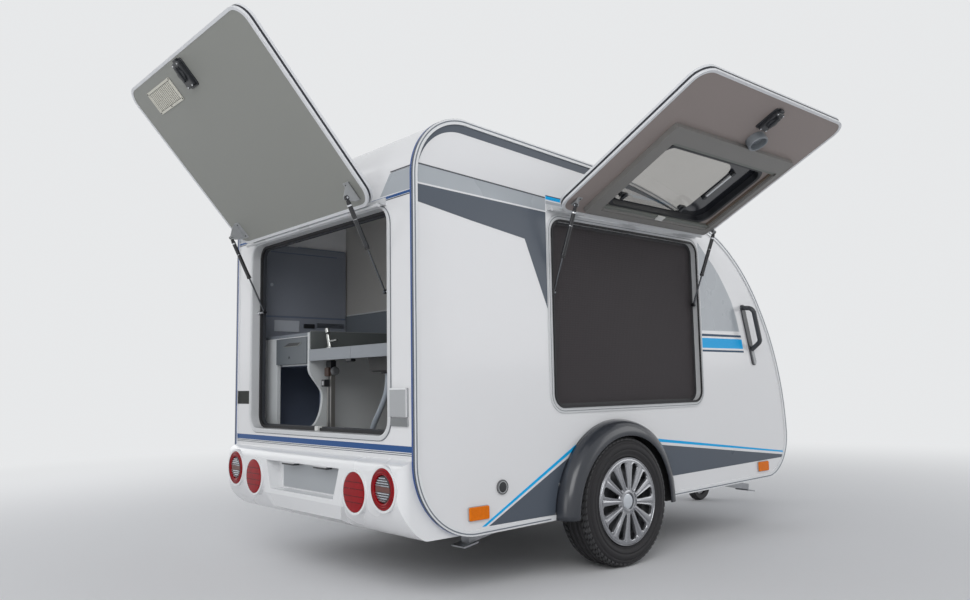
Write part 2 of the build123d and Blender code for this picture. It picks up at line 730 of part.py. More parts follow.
def strut(pivot, rod_end, pin_axis, centre, barrel_length, part):
    """One strut in a plane, given as points in that plane and the place across it."""
    def place(p):
        return (p[0], centre, p[1]) if pin_axis == "Y" else (centre, p[0], p[1])
    length = math.dist(pivot, rod_end)
    along = ((rod_end[0] - pivot[0]) / length, (rod_end[1] - pivot[1]) / length)

    def on_line(distance):
        return place((pivot[0] + along[0] * distance, pivot[1] + along[1] * distance))
    eye_y = (centre - STRUT_EYE_WIDTH / 2, centre + STRUT_EYE_WIDTH / 2)
    if part == "barrel":
        eye = cylinder_along(pin_axis, *eye_y, pivot, STRUT_EYE_RADIUS)
        tube = bar_between(on_line(0), on_line(barrel_length), BARREL_RADIUS)
        tube -= bar_between(on_line(-1), on_line(20), BARREL_RADIUS + 1)
        tube += bar_between(on_line(0), on_line(20.5), EAR_WALL)
        tube -= bar_between(on_line(BORE_START), on_line(barrel_length + 1), ROD_RADIUS + PIN_CLEARANCE)
        hole = cylinder_along(pin_axis, *grown(eye_y, 1), pivot, STRUT_PIN_RADIUS + PIN_CLEARANCE)
        return eye + tube - hole
    rod = bar_between(on_line(barrel_length - ROD_OVERLAP), on_line(length - 6), ROD_RADIUS)
    eye = cylinder_along(pin_axis, *eye_y, rod_end, STRUT_EYE_RADIUS)
    return rod + eye


rear_pivot_closed = (pivot_x, pivot_z)


def turned(point, centre, angle):
    """A point of the XZ or YZ plane turned about a centre, anticlockwise in that plane."""
    c = math.cos(math.radians(angle))
    s = math.sin(math.radians(angle))
    a = point[0] - centre[0]
    b = point[1] - centre[1]
    return (centre[0] + a * c - b * s, centre[1] + a * s + b * c)


rear_pivot_open = turned(rear_pivot_closed, (REAR_HINGE_X, REAR_HINGE_Z), -REAR_OPEN_ANGLE)
rear_strut_y = REAR_OPEN_HALF - REAR_STRUT_OFF_JAMB
rear_strut_data = (rear_pivot_open, REAR_ROD_END, "Y", rear_strut_y, REAR_BARREL)
save("rear_strut_barrels", both_sides(strut(*rear_strut_data, "barrel")))
save("rear_strut_rods", both_sides(strut(*rear_strut_data, "rod")))

side_pivot_closed = (side_pivot_y, side_pivot_z)
side_rod_end = (-SIDE_ROD_END[0], SIDE_ROD_END[1])
side_pivot_open = turned(side_pivot_closed, (-SIDE_HINGE_Y, SIDE_HINGE_Z), -SIDE_OPEN_ANGLE)


def side_struts(pivot, part):
    pair = Part()
    for centre in strut_x:
        pair += strut(pivot, side_rod_end, "X", centre, SIDE_BARREL, part)
    return pair


save("side_strut_barrels_right", side_struts(side_pivot_open, "barrel"))
save("side_strut_rods_right", side_struts(side_pivot_open, "rod"))
closed_stroke = math.dist(side_pivot_open, side_rod_end) - math.dist(side_pivot_closed, side_rod_end)


def closed_side_rods():
    """Rods of the closed left hatch, drawn with the same length as the open ones."""
    pair = Part()
    full = math.dist(side_pivot_open, side_rod_end)
    for centre in strut_x:
        length = math.dist(side_pivot_closed, side_rod_end)
        along = (
            (side_rod_end[0] - side_pivot_closed[0]) / length,
            (side_rod_end[1] - side_pivot_closed[1]) / length,
        )

        def on_line(distance):
            y = side_pivot_closed[0] + along[0] * distance
            z = side_pivot_closed[1] + along[1] * distance
            return (centre, y, z)
        rod_start = SIDE_BARREL - ROD_OVERLAP - (full - length)
        pair += bar_between(on_line(rod_start), on_line(length - 6), ROD_RADIUS)
        eye_x = (centre - STRUT_EYE_WIDTH / 2, centre + STRUT_EYE_WIDTH / 2)
        pair += cylinder_along("X", *eye_x, side_rod_end, STRUT_EYE_RADIUS)
    return pair


save("side_strut_barrels_left", other_side(side_struts(side_pivot_closed, "barrel")))
save("side_strut_rods_left", other_side(closed_side_rods()))

rear_stud_y = (rear_strut_y + STRUT_EYE_WIDTH / 2 + STUD_GAP, REAR_OPEN_HALF)
rear_studs = both_sides(cylinder_along("Y", *rear_stud_y, REAR_ROD_END, STRUT_PIN_RADIUS))


def jamb_band(opening_z):
    """The height over which a frame's sides are straight, between its rounded corners."""
    straight = grown(opening_z, FRAME_LINER - CORNER)
    return block((-FAR, FAR), (-FAR, FAR), straight)


side_frame_whole = side_frame()
rear_band = jamb_band(rear_open_z)
side_band = jamb_band(SIDE_OPEN_Z)
save("frame_jambs", (rear_frame & rear_band) + both_sides(side_frame_whole & side_band))
save("rear_frame", rear_frame - rear_band + rear_hinge("body"))
save("side_frames", both_sides(side_frame_whole - side_band + side_hinge("body")))

side_studs = Part()
for low, high in (
    (SIDE_OPEN_X[0], strut_x[0] - STRUT_EYE_WIDTH / 2 - STUD_GAP),
    (strut_x[1] + STRUT_EYE_WIDTH / 2 + STUD_GAP, SIDE_OPEN_X[1]),
):
    side_studs += cylinder_along("X", low, high, side_rod_end, STRUT_PIN_RADIUS)
save("strut_studs", rear_studs + both_sides(side_studs))


# Wheels

def wheel_revolve(points):
    """A closed section of (radius, Y) pairs turned about the right wheel's axle."""
    corners = [(WHEEL_X + radius, y, TYRE_RADIUS) for radius, y in points]
    section = Face(Wire.make_polygon(corners, close=True))
    return revolve(section, Axis((WHEEL_X, 0, TYRE_RADIUS), (0, 1, 0)), 360)


tyre_outer = -TYRE_OUTER_Y
tyre_inner = -TYRE_OUTER_Y + TYRE_WIDTH
tyre = wheel_revolve((
    (RIM_RADIUS + 0.2, tyre_outer + 20),
    (RIM_RADIUS + 14, tyre_outer + 14),
    (RIM_RADIUS + 28, tyre_outer + 3),
    (RIM_RADIUS + 40, tyre_outer),
    (TYRE_RADIUS - 22, tyre_outer + 4),
    (TYRE_RADIUS - 4, tyre_outer + 16),
    (TYRE_RADIUS, tyre_outer + 30),
    (TYRE_RADIUS, tyre_inner - 30),
    (TYRE_RADIUS - 4, tyre_inner - 16),
    (TYRE_RADIUS - 22, tyre_inner - 4),
    (RIM_RADIUS + 40, tyre_inner),
    (RIM_RADIUS + 28, tyre_inner - 3),
    (RIM_RADIUS + 14, tyre_inner - 14),
    (RIM_RADIUS + 0.2, tyre_inner - 20),
))
save("tyre_right", tyre)
save("tyre_left", other_side(tyre))

disc_y = -TYRE_OUTER_Y + 94.0
hub_inner_y = -ARM_OUTER_Y - 8
rim = wheel_revolve((
    (RIM_RADIUS, tyre_outer + 10),
    (RIM_RADIUS, tyre_inner - 8),
    (RIM_RADIUS - RIM_WALL, tyre_inner - 8),
    (RIM_RADIUS - RIM_WALL, disc_y + 4),
    (HUB_RADIUS, disc_y + 4),
    (HUB_RADIUS, hub_inner_y),
    (SPINDLE_RADIUS + PIN_CLEARANCE, hub_inner_y),
    (SPINDLE_RADIUS + PIN_CLEARANCE, disc_y - 4),
    (RIM_RADIUS - RIM_WALL, disc_y - 4),
    (RIM_RADIUS - RIM_WALL, tyre_outer + 10),
))

SPOKES = 15
SPOKE_PLAN = (
    # distance from the middle, place to one side
    (58.0, -9.0),
    (164.0, -17.0),
    (164.0, 17.0),
    (58.0, 9.0),
)
cap_back = tyre_outer + 10
cap_rim = wheel_revolve((
    (160, cap_back),
    (160, -CAP_FACE_Y - 3),
    (CAP_RADIUS - 8, -CAP_FACE_Y - 2),
    (CAP_RADIUS, cap_back - 2),
    (CAP_RADIUS, cap_back),
))
cap_centre = wheel_revolve((
    (0, cap_back),
    (0, -CAP_FACE_Y + 2),
    (36, -CAP_FACE_Y + 2),
    (40, -CAP_FACE_Y - 2),
    (62, -CAP_FACE_Y - 2),
    (62, cap_back),
))
cap = cap_rim + cap_centre
for k in range(SPOKES):
    turn = math.radians(360 / SPOKES * k)
    corners = []
    for radius, across in SPOKE_PLAN:
        x = WHEEL_X + radius * math.cos(turn) - across * math.sin(turn)
        z = TYRE_RADIUS + radius * math.sin(turn) + across * math.cos(turn)
        corners.append((x, 0, z))
    spoke = Face(Wire.make_polygon(corners, close=True))
    cap += along_y(spoke, (-CAP_FACE_Y - 1, cap_back))
save("rim_right", rim + cap)
save("rim_left", other_side(rim + cap))


# Axle

half_tube = AXLE_TUBE / 2
axle_y = (-ARM_OUTER_Y + ARM_WALL, ARM_OUTER_Y - ARM_WALL)
axle = block(
    (AXLE_X - half_tube, AXLE_X + half_tube),
    axle_y,
    (AXLE_Z - half_tube, AXLE_Z + half_tube),
)
pad_y = (-RAIL_Y - RAIL_WIDTH / 2, -RAIL_Y + RAIL_WIDTH / 2)
pad = block((AXLE_X - 70, AXLE_X + 70), pad_y, (AXLE_Z + half_tube, RAIL_HIGH - RAIL_HEIGHT))
axle += both_sides(pad)

arm_y = (-ARM_OUTER_Y, -ARM_OUTER_Y + ARM_WALL)
arm = cylinder_along("Y", *arm_y, (AXLE_X, AXLE_Z), 42)
arm += cylinder_along("Y", *arm_y, (WHEEL_X, TYRE_RADIUS), 36)
arm_corners = [
    (AXLE_X, 0, AXLE_Z + 42),
    (AXLE_X, 0, AXLE_Z - 42),
    (WHEEL_X, 0, TYRE_RADIUS - 36),
    (WHEEL_X, 0, TYRE_RADIUS + 36),
]
arm += along_y(Face(Wire.make_polygon(arm_corners, close=True)), arm_y)
spindle_end = disc_y + 6
arm += cylinder_along("Y", spindle_end, -ARM_OUTER_Y, (WHEEL_X, TYRE_RADIUS), SPINDLE_RADIUS)
save("axle", axle + both_sides(arm))


# Chassis

rail_z = (RAIL_HIGH - RAIL_HEIGHT, RAIL_HIGH)


def rail_plan(outer, inner):
    """The plan of the right rail between two distances from its centre line."""
    path = ((RAIL_REAR_X, -RAIL_Y), (RAIL_BEND_X, -RAIL_Y), (NOSE_X, -NOSE_Y))
    bend = math.atan2(path[2][1] - path[1][1], path[2][0] - path[1][0])
    half_bend = bend / 2
    shift = {
        0: (0.0, 1.0),
        1: (-math.tan(half_bend), 1.0),
        2: (-math.sin(bend), math.cos(bend)),
    }
    first = []
    second = []
    for k, (x, y) in enumerate(path):
        sx, sy = shift[k]
        first.append((x + sx * outer, y + sy * outer))
        second.append((x + sx * inner, y + sy * inner))
    return first + second[::-1]


def rail():
    half = RAIL_WIDTH / 2
    whole = [(x, y, rail_z[0]) for x, y in rail_plan(-half, half)]
    hollow = [(x, y, rail_z[0] + RAIL_WALL) for x, y in rail_plan(-half + RAIL_WALL, half + 1)]
    bar = extrude(Face(Wire.make_polygon(whole, close=True)), RAIL_HEIGHT, dir=(0, 0, 1))
    core = extrude(
        Face(Wire.make_polygon(hollow, close=True)), RAIL_HEIGHT - 2 * RAIL_WALL, dir=(0, 0, 1)
    )
    core &= block((RAIL_REAR_X + RAIL_WALL, NOSE_X - 60), (-FAR, FAR), rail_z)
    return bar - core


right_rail = rail()

cross_half = RAIL_Y + RAIL_WIDTH / 2 - RAIL_WALL
cross = Part()
for x in CROSS_MEMBERS_X:
    cross += block((x - 20, x + 20), (-cross_half, cross_half), (rail_z[0] + 8, rail_z[1] - RAIL_WALL))

nose_plate_x = (NOSE_X - 130, NOSE_X)
nose_half = NOSE_Y + RAIL_WIDTH / 2
nose = block(nose_plate_x, (-nose_half, nose_half), (RAIL_HIGH, RAIL_HIGH + 6))
save("chassis", both_sides(right_rail) + cross + nose)

shank_z = RAIL_HIGH + 6 + SHANK_RADIUS
head = cylinder_along("X", NOSE_X - 110, BALL_X - 70, (0, shank_z), SHANK_RADIUS)
head -= cylinder_along("X", NOSE_X - 111, BALL_X - 80, (0, shank_z), SHANK_RADIUS - 4)
shell = rounded_in_yz((BALL_X - 90, BALL_X + 40), (-38, 38), (BALL_Z - 30, BALL_Z + 34), 22)
head += shell
head += block((BALL_X - 60, BALL_X + 10), (-16, 16), (BALL_Z + 30, BALL_Z + 52))
handle_x = (BALL_X - 190, BALL_X - 10)
head += rounded_in_xz(handle_x, (-15, 15), (BALL_Z + 48, BALL_Z + 64), 7)
head -= Pos(BALL_X, 0, BALL_Z) * Sphere(BALL_SOCKET_RADIUS)
head -= cylinder_along("Z", BALL_Z - 31, BALL_Z, (BALL_X, 0), BALL_SOCKET_RADIUS)
save("coupling_head", head)


# Jockey wheel on the left of the drawbar

bend_share = (JOCKEY_X - RAIL_BEND_X) / (NOSE_X - RAIL_BEND_X)
rail_y_there = RAIL_Y + (NOSE_Y - RAIL_Y) * bend_share
rail_face_y = rail_y_there + RAIL_WIDTH / 2 / math.cos(math.atan2(RAIL_Y - NOSE_Y, NOSE_X - RAIL_BEND_X))
JOCKEY_Y = rail_face_y + 14 + JOCKEY_TUBE_RADIUS
jockey = (JOCKEY_X, JOCKEY_Y)
clamp = block(
    (JOCKEY_X - 34, JOCKEY_X + 34),
    (rail_face_y - 30, JOCKEY_Y + 10),
    (RAIL_HIGH, RAIL_HIGH + 50),
)
clamp += cylinder_along("Z", RAIL_HIGH, RAIL_HIGH + 50, jockey, JOCKEY_TUBE_RADIUS + 9)
clamp -= cylinder_along("Z", RAIL_HIGH - 1, RAIL_HIGH + 51, jockey, JOCKEY_TUBE_RADIUS - 1)

tube_z = (292.0, 690.0)
outer_tube = cylinder_along("Z", *tube_z, jockey, JOCKEY_TUBE_RADIUS)
outer_tube -= cylinder_along("Z", tube_z[0] - 1, tube_z[1] - 20, jockey, JOCKEY_TUBE_RADIUS - 4)
outer_tube += cylinder_along("Z", tube_z[1], tube_z[1] + 26, jockey, 12)
crank_z = tube_z[1] + 20
outer_tube += cylinder_along("X", JOCKEY_X - 110, JOCKEY_X + 10, (JOCKEY_Y, crank_z), 7)
outer_tube += cylinder_along("Z", crank_z - 4, crank_z + 90, (JOCKEY_X - 104, JOCKEY_Y), 11)
save("jockey_tube", outer_tube + clamp)

leg_top = tube_z[1] - 100
leg = cylinder_along("Z", 222.3, leg_top, jockey, JOCKEY_TUBE_RADIUS - 4 - PIN_CLEARANCE)
save("jockey_leg", leg)

wheel_x = JOCKEY_X - JOCKEY_TRAIL
fork = cylinder_along("Z", 206, 222, jockey, 26)
cheek_gap = JOCKEY_WHEEL_WIDTH / 2 + 5
crown_x = (wheel_x - 34, JOCKEY_X + 26)
fork += block(crown_x, (JOCKEY_Y - cheek_gap - 5, JOCKEY_Y + cheek_gap + 5), (206, 212))
for side in (-1, 1):
    near = JOCKEY_Y + side * cheek_gap
    far = near + side * 5
    cheek_y = (min(near, far), max(near, far))
    cheek = [
        (crown_x[0], 0, 212),
        (crown_x[1], 0, 212),
        (wheel_x + 16, 0, JOCKEY_WHEEL_RADIUS - 16),
        (wheel_x - 16, 0, JOCKEY_WHEEL_RADIUS - 16),
    ]
    fork += along_y(Face(Wire.make_polygon(cheek, close=True)), cheek_y)
pin_half = cheek_gap + 5
fork += cylinder_along("Y", JOCKEY_Y - pin_half, JOCKEY_Y + pin_half, (wheel_x, JOCKEY_WHEEL_RADIUS), 8)
save("jockey_fork", fork)


def jockey_ring(points):
    corners = [(wheel_x + radius, JOCKEY_Y + y, JOCKEY_WHEEL_RADIUS) for radius, y in points]
    section = Face(Wire.make_polygon(corners, close=True))
    return revolve(section, Axis((wheel_x, JOCKEY_Y, JOCKEY_WHEEL_RADIUS), (0, 1, 0)), 360)


half = JOCKEY_WHEEL_WIDTH / 2
jockey_tyre = jockey_ring((
    (66, -half + 6),
    (JOCKEY_WHEEL_RADIUS - 8, -half),
    (JOCKEY_WHEEL_RADIUS, -half + 10),
    (JOCKEY_WHEEL_RADIUS, half - 10),
    (JOCKEY_WHEEL_RADIUS - 8, half),
    (66, half - 6),
))
jockey_rim = jockey_ring((
    (66, -half + 8),
    (62, -half + 8),
    (62, -4),
    (20, -4),
    (20, -half),
    (8 + PIN_CLEARANCE, -half),
    (8 + PIN_CLEARANCE, half),
    (20, half),
    (20, 4),
    (62, 4),
    (62, half - 8),
    (66, half - 8),
))
save("jockey_wheel", jockey_tyre + jockey_rim)


# Corner steadies, folded up

def steady(pivot_x, y, facing):
    """The right steady with its leg folded, facing forward for +1 and rearward for -1."""
    pivot = (pivot_x, STEADY_PIVOT_Z)
    base_x = sorted((pivot_x - facing * 40, pivot_x + facing * (STEADY_ARM * 0.55)))
    base = block(tuple(base_x), (y - 34, y + 34), (FLOOR_LOW - 4, FLOOR_LOW))
    for side in (-1, 1):
        near = y + side * 30
        far = near + side * 4
        cheek_y = (min(near, far), max(near, far))
        cheek = [
            (pivot_x - facing * 30, 0, FLOOR_LOW),
            (pivot_x + facing * 60, 0, FLOOR_LOW),
            (pivot_x + facing * 14, 0, STEADY_PIVOT_Z - 14),
            (pivot_x - facing * 14, 0, STEADY_PIVOT_Z - 14),
        ]
        base += along_y(Face(Wire.make_polygon(cheek, close=True)), cheek_y)
    base += cylinder_along("Y", y - 34, y + 34, pivot, 8)
    leg = block((0, STEADY_ARM), (-24, 24), (-16, 16))
    leg -= block((16, STEADY_ARM - 30), (-20, 20), (-12, 17))
    leg -= cylinder_along("Y", -30, 30, (0, 0), 8 + PIN_CLEARANCE)
    leg += cylinder_along("Y", -24, 24, (0, 0), 16) - cylinder_along("Y", -30, 30, (0, 0), 8 + PIN_CLEARANCE)
    leg += block((STEADY_ARM - 34, STEADY_ARM + 40), (-40, 40), (-22, -16))
    leg = leg.rotate(Axis.Y, STEADY_DROOP)
    if facing < 0:
        leg = mirror(leg, Plane.YZ)
    leg = Pos(pivot_x, y, STEADY_PIVOT_Z) * leg
    return base, leg


steady_bases = Part()
for place, x, y, facing in STEADIES:
    base, leg = steady(x, y, facing)
    steady_bases += both_sides(base)
    save(f"steady_leg_{place}_right", leg)
    save(f"steady_leg_{place}_left", other_side(leg))
save("steady_bases", steady_bases)


# Bumper, lamps and plate recess

def bumper_face(inset, middle):
    """The bumper's section seen from the side, at its ends or through its middle block."""
    proud = -BUMPER_PROUD + inset
    top = BUMPER_TOP - 2 * inset
    low = 236.0 + inset
    heel = HEEL_TOP - 2 * inset
    face_low = 332.0 if middle else 396.0
    if middle:
        under = [
            Line((proud, 0, face_low), (proud + 24, 0, low + 38)),
            Line((proud + 24, 0, low + 38), (proud + 110, 0, low)),
        ]
    else:
        under = [ThreePointArc((proud, 0, face_low), (proud + 28, 0, low + 68), (proud + 110, 0, low))]
    return Face(Wire([
        Line((-inset, 0, top), (proud + 26, 0, top - 12)),
        ThreePointArc((proud + 26, 0, top - 12), (proud + 7.2, 0, top - 25.8), (proud, 0, top - 48)),
        Line((proud, 0, top - 48), (proud, 0, face_low)),
        *under,
        Line((proud + 110, 0, low), (BELLY_REAR[0], 0, low)),
        Line((BELLY_REAR[0], 0, low), (BELLY_REAR[0], 0, low + 14)),
        Line((BELLY_REAR[0], 0, low + 14), (SKIN_WALL - inset, 0, heel)),
        Line((SKIN_WALL - inset, 0, heel), (-inset, 0, heel)),
        Line((-inset, 0, heel), (-inset, 0, top)),
    ]))


def bumper_solid(inset):
    """The bumper's outside moved in by a wall, with rounded ends and a block for the plate."""
    half = BUMPER_HALF - inset
    y = (-half, half)
    wide = BUMPER_BLOCK_HALF - inset
    narrow = wide - 50
    middle_plan = [
        (-FAR, wide, FAR), (-FAR, -wide, FAR), (-FAR, -wide, 330), (-FAR, -narrow, 262),
        (-FAR, -narrow, 0), (-FAR, narrow, 0), (-FAR, narrow, 262), (-FAR, wide, 330),
    ]
    middle = extrude(Face(Wire.make_polygon(middle_plan, close=True)), 2 * FAR, dir=(1, 0, 0))
    body = along_y(bumper_face(inset, False), y)
    body += along_y(bumper_face(inset, True), y) & middle
    plan_middle = 200 - BUMPER_PROUD + inset - BUMPER_CORNER_AHEAD
    plan = Pos(plan_middle, 0, 0) * RectangleRounded(400, 2 * half, BUMPER_CORNER - inset)
    return body & extrude(plan, FAR)


side_wall_zone = both_sides(along_y(outline, (-HALF_WIDTH, -SKIN_HALF)))
bumper_outside = bumper_solid(0)
bumper = bumper_outside - bumper_solid(BUMPER_WALL)
recess_corners = [
    (-PLATE_HALF_TOP, PLATE_Z[1]),
    (PLATE_HALF_TOP, PLATE_Z[1]),
    (PLATE_HALF_BOTTOM, PLATE_Z[0]),
    (-PLATE_HALF_BOTTOM, PLATE_Z[0]),
]


def recess(grow, x):
    corners = [
        (x[0], y + math.copysign(grow, y), z + (grow if z > sum(PLATE_Z) / 2 else -grow))
        for y, z in recess_corners
    ]
    return extrude(Face(Wire.make_polygon(corners, close=True)), x[1] - x[0], dir=(1, 0, 0))


back_x = -BUMPER_PROUD + PLATE_DEPTH
bumper += recess(5, (-BUMPER_PROUD, back_x + 4)) & bumper_outside
bumper -= recess(0, (-BUMPER_PROUD - 1, back_x))
for lamp in (OUTER_LAMP, INNER_LAMP):
    collar_x = (-BUMPER_PROUD - 5, -BUMPER_PROUD + 40)
    bumper += both_sides(cylinder_along("X", *collar_x, lamp, LAMP_RADIUS + LAMP_COLLAR))
for lamp in (OUTER_LAMP, INNER_LAMP):
    seat = cylinder_along("X", -BUMPER_PROUD - 6, -BUMPER_PROUD, lamp, LAMP_RADIUS + LAMP_CLEARANCE)
    hole = cylinder_along("X", -BUMPER_PROUD - 1, -BUMPER_PROUD + 41, lamp, LAMP_BODY_RADIUS + LAMP_CLEARANCE)
    bumper -= both_sides(seat + hole)
bumper -= along_y(skin_inside, (-HALF_WIDTH, HALF_WIDTH))
bumper -= side_wall_zone


def lamp_body(place, ring):
    y, z = place
    front = -BUMPER_PROUD - 8
    lens = cylinder_along("X", front, -BUMPER_PROUD, (-y, z), LAMP_RADIUS)
    lens += cylinder_along("X", -BUMPER_PROUD, -BUMPER_PROUD + 28, (-y, z), LAMP_BODY_RADIUS)
    if ring:
        lens -= cylinder_along("X", front - 1, front + 6, (-y, z), 52)
    return lens


save("tail_lamps", both_sides(lamp_body(OUTER_LAMP, True) + lamp_body(INNER_LAMP, False)))
plate_lamp = block((-BUMPER_PROUD + 14, back_x - 18), (84, 186), (PLATE_Z[1] - 8, PLATE_Z[1]))
seat_z = sum(PLATE_Z) / 2 - 4
seat = block(
    (back_x - PLATE_SEAT_PROUD, back_x),
    (-PLATE_SEAT[0] / 2, PLATE_SEAT[0] / 2),
    (seat_z - PLATE_SEAT[1] / 2, seat_z + PLATE_SEAT[1] / 2),
)
save("rear_bumper", bumper + seat + both_sides(plate_lamp))


# Small fittings on the walls

REFLECTORS = (
    # distance from the rear wall, height, length, height of the lens
    (287.0, 311.0, 100.0, 53.0),
    (2290.0, 330.0, 100.0, 53.0),
)
reflectors = Part()
for x, z, length, height in REFLECTORS:
    face_y = (-HALF_WIDTH - 12, -HALF_WIDTH)
    reflectors += rounded_in_xz((x - length / 2, x + length / 2), face_y, (z - height / 2, z + height / 2), 6)
save("side_reflectors", both_sides(reflectors))

outlet = cylinder_along("Y", -HALF_WIDTH - 6, -HALF_WIDTH, (410, 395), 28)
outlet -= cylinder_along("Y", -HALF_WIDTH - 7, -HALF_WIDTH - 2, (410, 395), 20)

HANDLE_TOP = (2159.0, 1188.0)
HANDLE_FOOT = (2258.0, 868.0)
HANDLE_PROUD = 66.0
HANDLE_RADIUS = 12.0
handle_length = math.dist(HANDLE_TOP, HANDLE_FOOT)
handle_way = (
    (HANDLE_FOOT[0] - HANDLE_TOP[0]) / handle_length,
    (HANDLE_FOOT[1] - HANDLE_TOP[1]) / handle_length,
)


def on_handle(distance, proud):
    """A point along the grab handle, measured from its top end and out from the wall."""
    x = HANDLE_TOP[0] + handle_way[0] * distance
    z = HANDLE_TOP[1] + handle_way[1] * distance
    return (x, -HALF_WIDTH - proud, z)


handle_plane = Plane(
    origin=on_handle(handle_length / 2, 0),
    x_dir=(handle_way[0], 0, handle_way[1]),
    z_dir=(0, -1, 0),
)
handle = extrude(handle_plane * SlotOverall(handle_length, 34), 8)
bow = FilletPolyline(
    on_handle(17, 6),
    on_handle(24, HANDLE_PROUD),
    on_handle(handle_length * 0.62, HANDLE_PROUD),
    on_handle(handle_length * 0.74, 8),
    radius=30,
)
handle += sweep(Plane(origin=bow @ 0, z_dir=bow % 0) * Circle(HANDLE_RADIUS), path=bow)
save("grab_handles", both_sides(handle))

cover_y = (-REAR_OPEN_HALF - REAR_FLANGE - 8 - COVER_WIDTH, -REAR_OPEN_HALF - REAR_FLANGE - 8)
box_plate = rounded_in_yz((-10, 0), cover_y, COVER_Z, 4)
box_plate += rounded_in_yz((-6, 0), cover_y, LOWER_COVER_Z, 3)
save("service_covers", box_plate + outlet)


# Kitchen behind the rear opening and the wall that parts it from the cabin

partition = inside_room & block(
    (PARTITION_X, PARTITION_X + PARTITION_WALL),
    (-FAR, FAR),
    (FLOOR_LOW + FLOOR_WALL, FAR),
)

floor_top = FLOOR_LOW + FLOOR_WALL
kitchen_x = (KITCHEN_FRONT_X, PARTITION_X)
side_board = block(kitchen_x, (CABINET_Y - BOARD, CABINET_Y), (floor_top, CABINET_TOP))
scoop = cylinder_along("Y", CABINET_Y - BOARD - 1, CABINET_Y + 1, (KITCHEN_FRONT_X - 90, 745.0), 150)
side_board -= scoop
top_board = block(kitchen_x, (CABINET_Y, SKIN_HALF), (CABINET_TOP - BOARD, CABINET_TOP))
drawer_shelf = block(kitchen_x, (CABINET_Y, SKIN_HALF), (DRAWER_LOW - 8 - BOARD, DRAWER_LOW - 8))
filler = block(
    (KITCHEN_FRONT_X, KITCHEN_FRONT_X + BOARD),
    (DRAWER_LEFT_Y + 8, SKIN_HALF),
    (floor_top, CABINET_TOP - BOARD),
)
runners = Part()
for runner_y in (CABINET_Y, DRAWER_LEFT_Y - 10):
    runner_z = (DRAWER_LOW - 8, DRAWER_LOW - 0.3)
    runners += block((KITCHEN_FRONT_X + BOARD, PARTITION_X), (runner_y, runner_y + 14), runner_z)
cabinet = partition + runners + side_board + top_board + drawer_shelf + filler

drawer_y = (CABINET_Y + 6, DRAWER_LEFT_Y)
drawer_z = (DRAWER_LOW, CABINET_TOP - BOARD - 6)
drawer = block((KITCHEN_FRONT_X - 2, KITCHEN_FRONT_X + 440), drawer_y, drawer_z)
drawer -= block((KITCHEN_FRONT_X + 16, KITCHEN_FRONT_X + 428), grown(drawer_y, -12), (drawer_z[0] + 10, FAR))
grip_y = (drawer_y[0] + 90, drawer_y[1] - 90)
drawer -= block((KITCHEN_FRONT_X - 3, KITCHEN_FRONT_X + 8), grip_y, (drawer_z[1] - 42, drawer_z[1] - 24))
save("kitchen_drawer", drawer)

worktop = block(kitchen_x, (-SKIN_HALF, CABINET_Y - BOARD), (WORKTOP_HIGH - BOARD, WORKTOP_HIGH))
worktop += block(
    (KITCHEN_FRONT_X, KITCHEN_FRONT_X + BOARD),
    (-SKIN_HALF, CABINET_Y - BOARD),
    (FASCIA_LOW, WORKTOP_HIGH),
)
sink_hole_z = (WORKTOP_HIGH - BOARD - 1, WORKTOP_HIGH + 1)
worktop -= block(SINK_X, SINK_Y, sink_hole_z)

rim_z = (WORKTOP_HIGH, WORKTOP_HIGH + 3)
sink = block(grown(SINK_X, 14), grown(SINK_Y, 14), rim_z)
sink += block(SINK_X, SINK_Y, (WORKTOP_HIGH - SINK_DEPTH, WORKTOP_HIGH))
sink -= block(grown(SINK_X, -3), grown(SINK_Y, -3), (WORKTOP_HIGH - SINK_DEPTH + 3, FAR))
drain_z = (WORKTOP_HIGH - SINK_DEPTH - 8, WORKTOP_HIGH - SINK_DEPTH)
sink += cylinder_along("Z", *drain_z, (DRAIN[0], DRAIN[1]), 28)

lid_low = WORKTOP_HIGH
lid_corners = [
    (LID_X[0], 0, lid_low),
    (LID_X[1], 0, lid_low),
    (LID_X[1], 0, lid_low + LID_HEIGHT),
    (LID_X[0] + 46, 0, lid_low + LID_HEIGHT),
    (LID_X[0], 0, lid_low + LID_HEIGHT - 34),
]
lid_y = (CABINET_Y - BOARD - 8, CABINET_Y - BOARD - 3)
save("sink_lid", along_y(Face(Wire.make_polygon(lid_corners, close=True)), lid_y))

tap_high = WORKTOP_HIGH + 88
tap = cylinder_along("Z", WORKTOP_HIGH, WORKTOP_HIGH + 10, TAP, 20)
tap += cylinder_along("Z", WORKTOP_HIGH, tap_high, TAP, 8)
tap += bar_between((TAP[0], TAP[1], tap_high - 8), (TAP[0] + 50, TAP[1] - 150, tap_high - 4), 6)
save("worktop", worktop + sink + tap)

post_x = (POST_X - POST_SIZE[0] / 2, POST_X + POST_SIZE[0] / 2)
post_y = (POST_Y - POST_SIZE[1] / 2, POST_Y + POST_SIZE[1] / 2)
post = block(post_x, post_y, (floor_top, WORKTOP_HIGH - BOARD))
post += block(grown(post_x, 26), grown(post_y, 20), (floor_top, floor_top + 5))
post += block(grown(post_x, 5), grown(post_y, 5), (742, 790))
post += cylinder_along("X", post_x[0] - 30, post_x[0] - 4, (POST_Y, 766), 15)
post += block((post_x[0] - 24, post_x[0]), (post_y[0] - 22, post_y[1]), (800, 842))
save("table_post", post)

locker_y = (SKIN_HALF - LOCKER_DEPTH, SKIN_HALF)
locker = block(LOCKER_X, locker_y, LOCKER_Z)
locker -= block(
    (LOCKER_X[0] + BOARD, LOCKER_X[1] - 2 * BOARD),
    (locker_y[0] - 1, locker_y[0] + 8),
    grown(LOCKER_Z, -BOARD),
)
save("kitchen_cabinet", cabinet + locker)

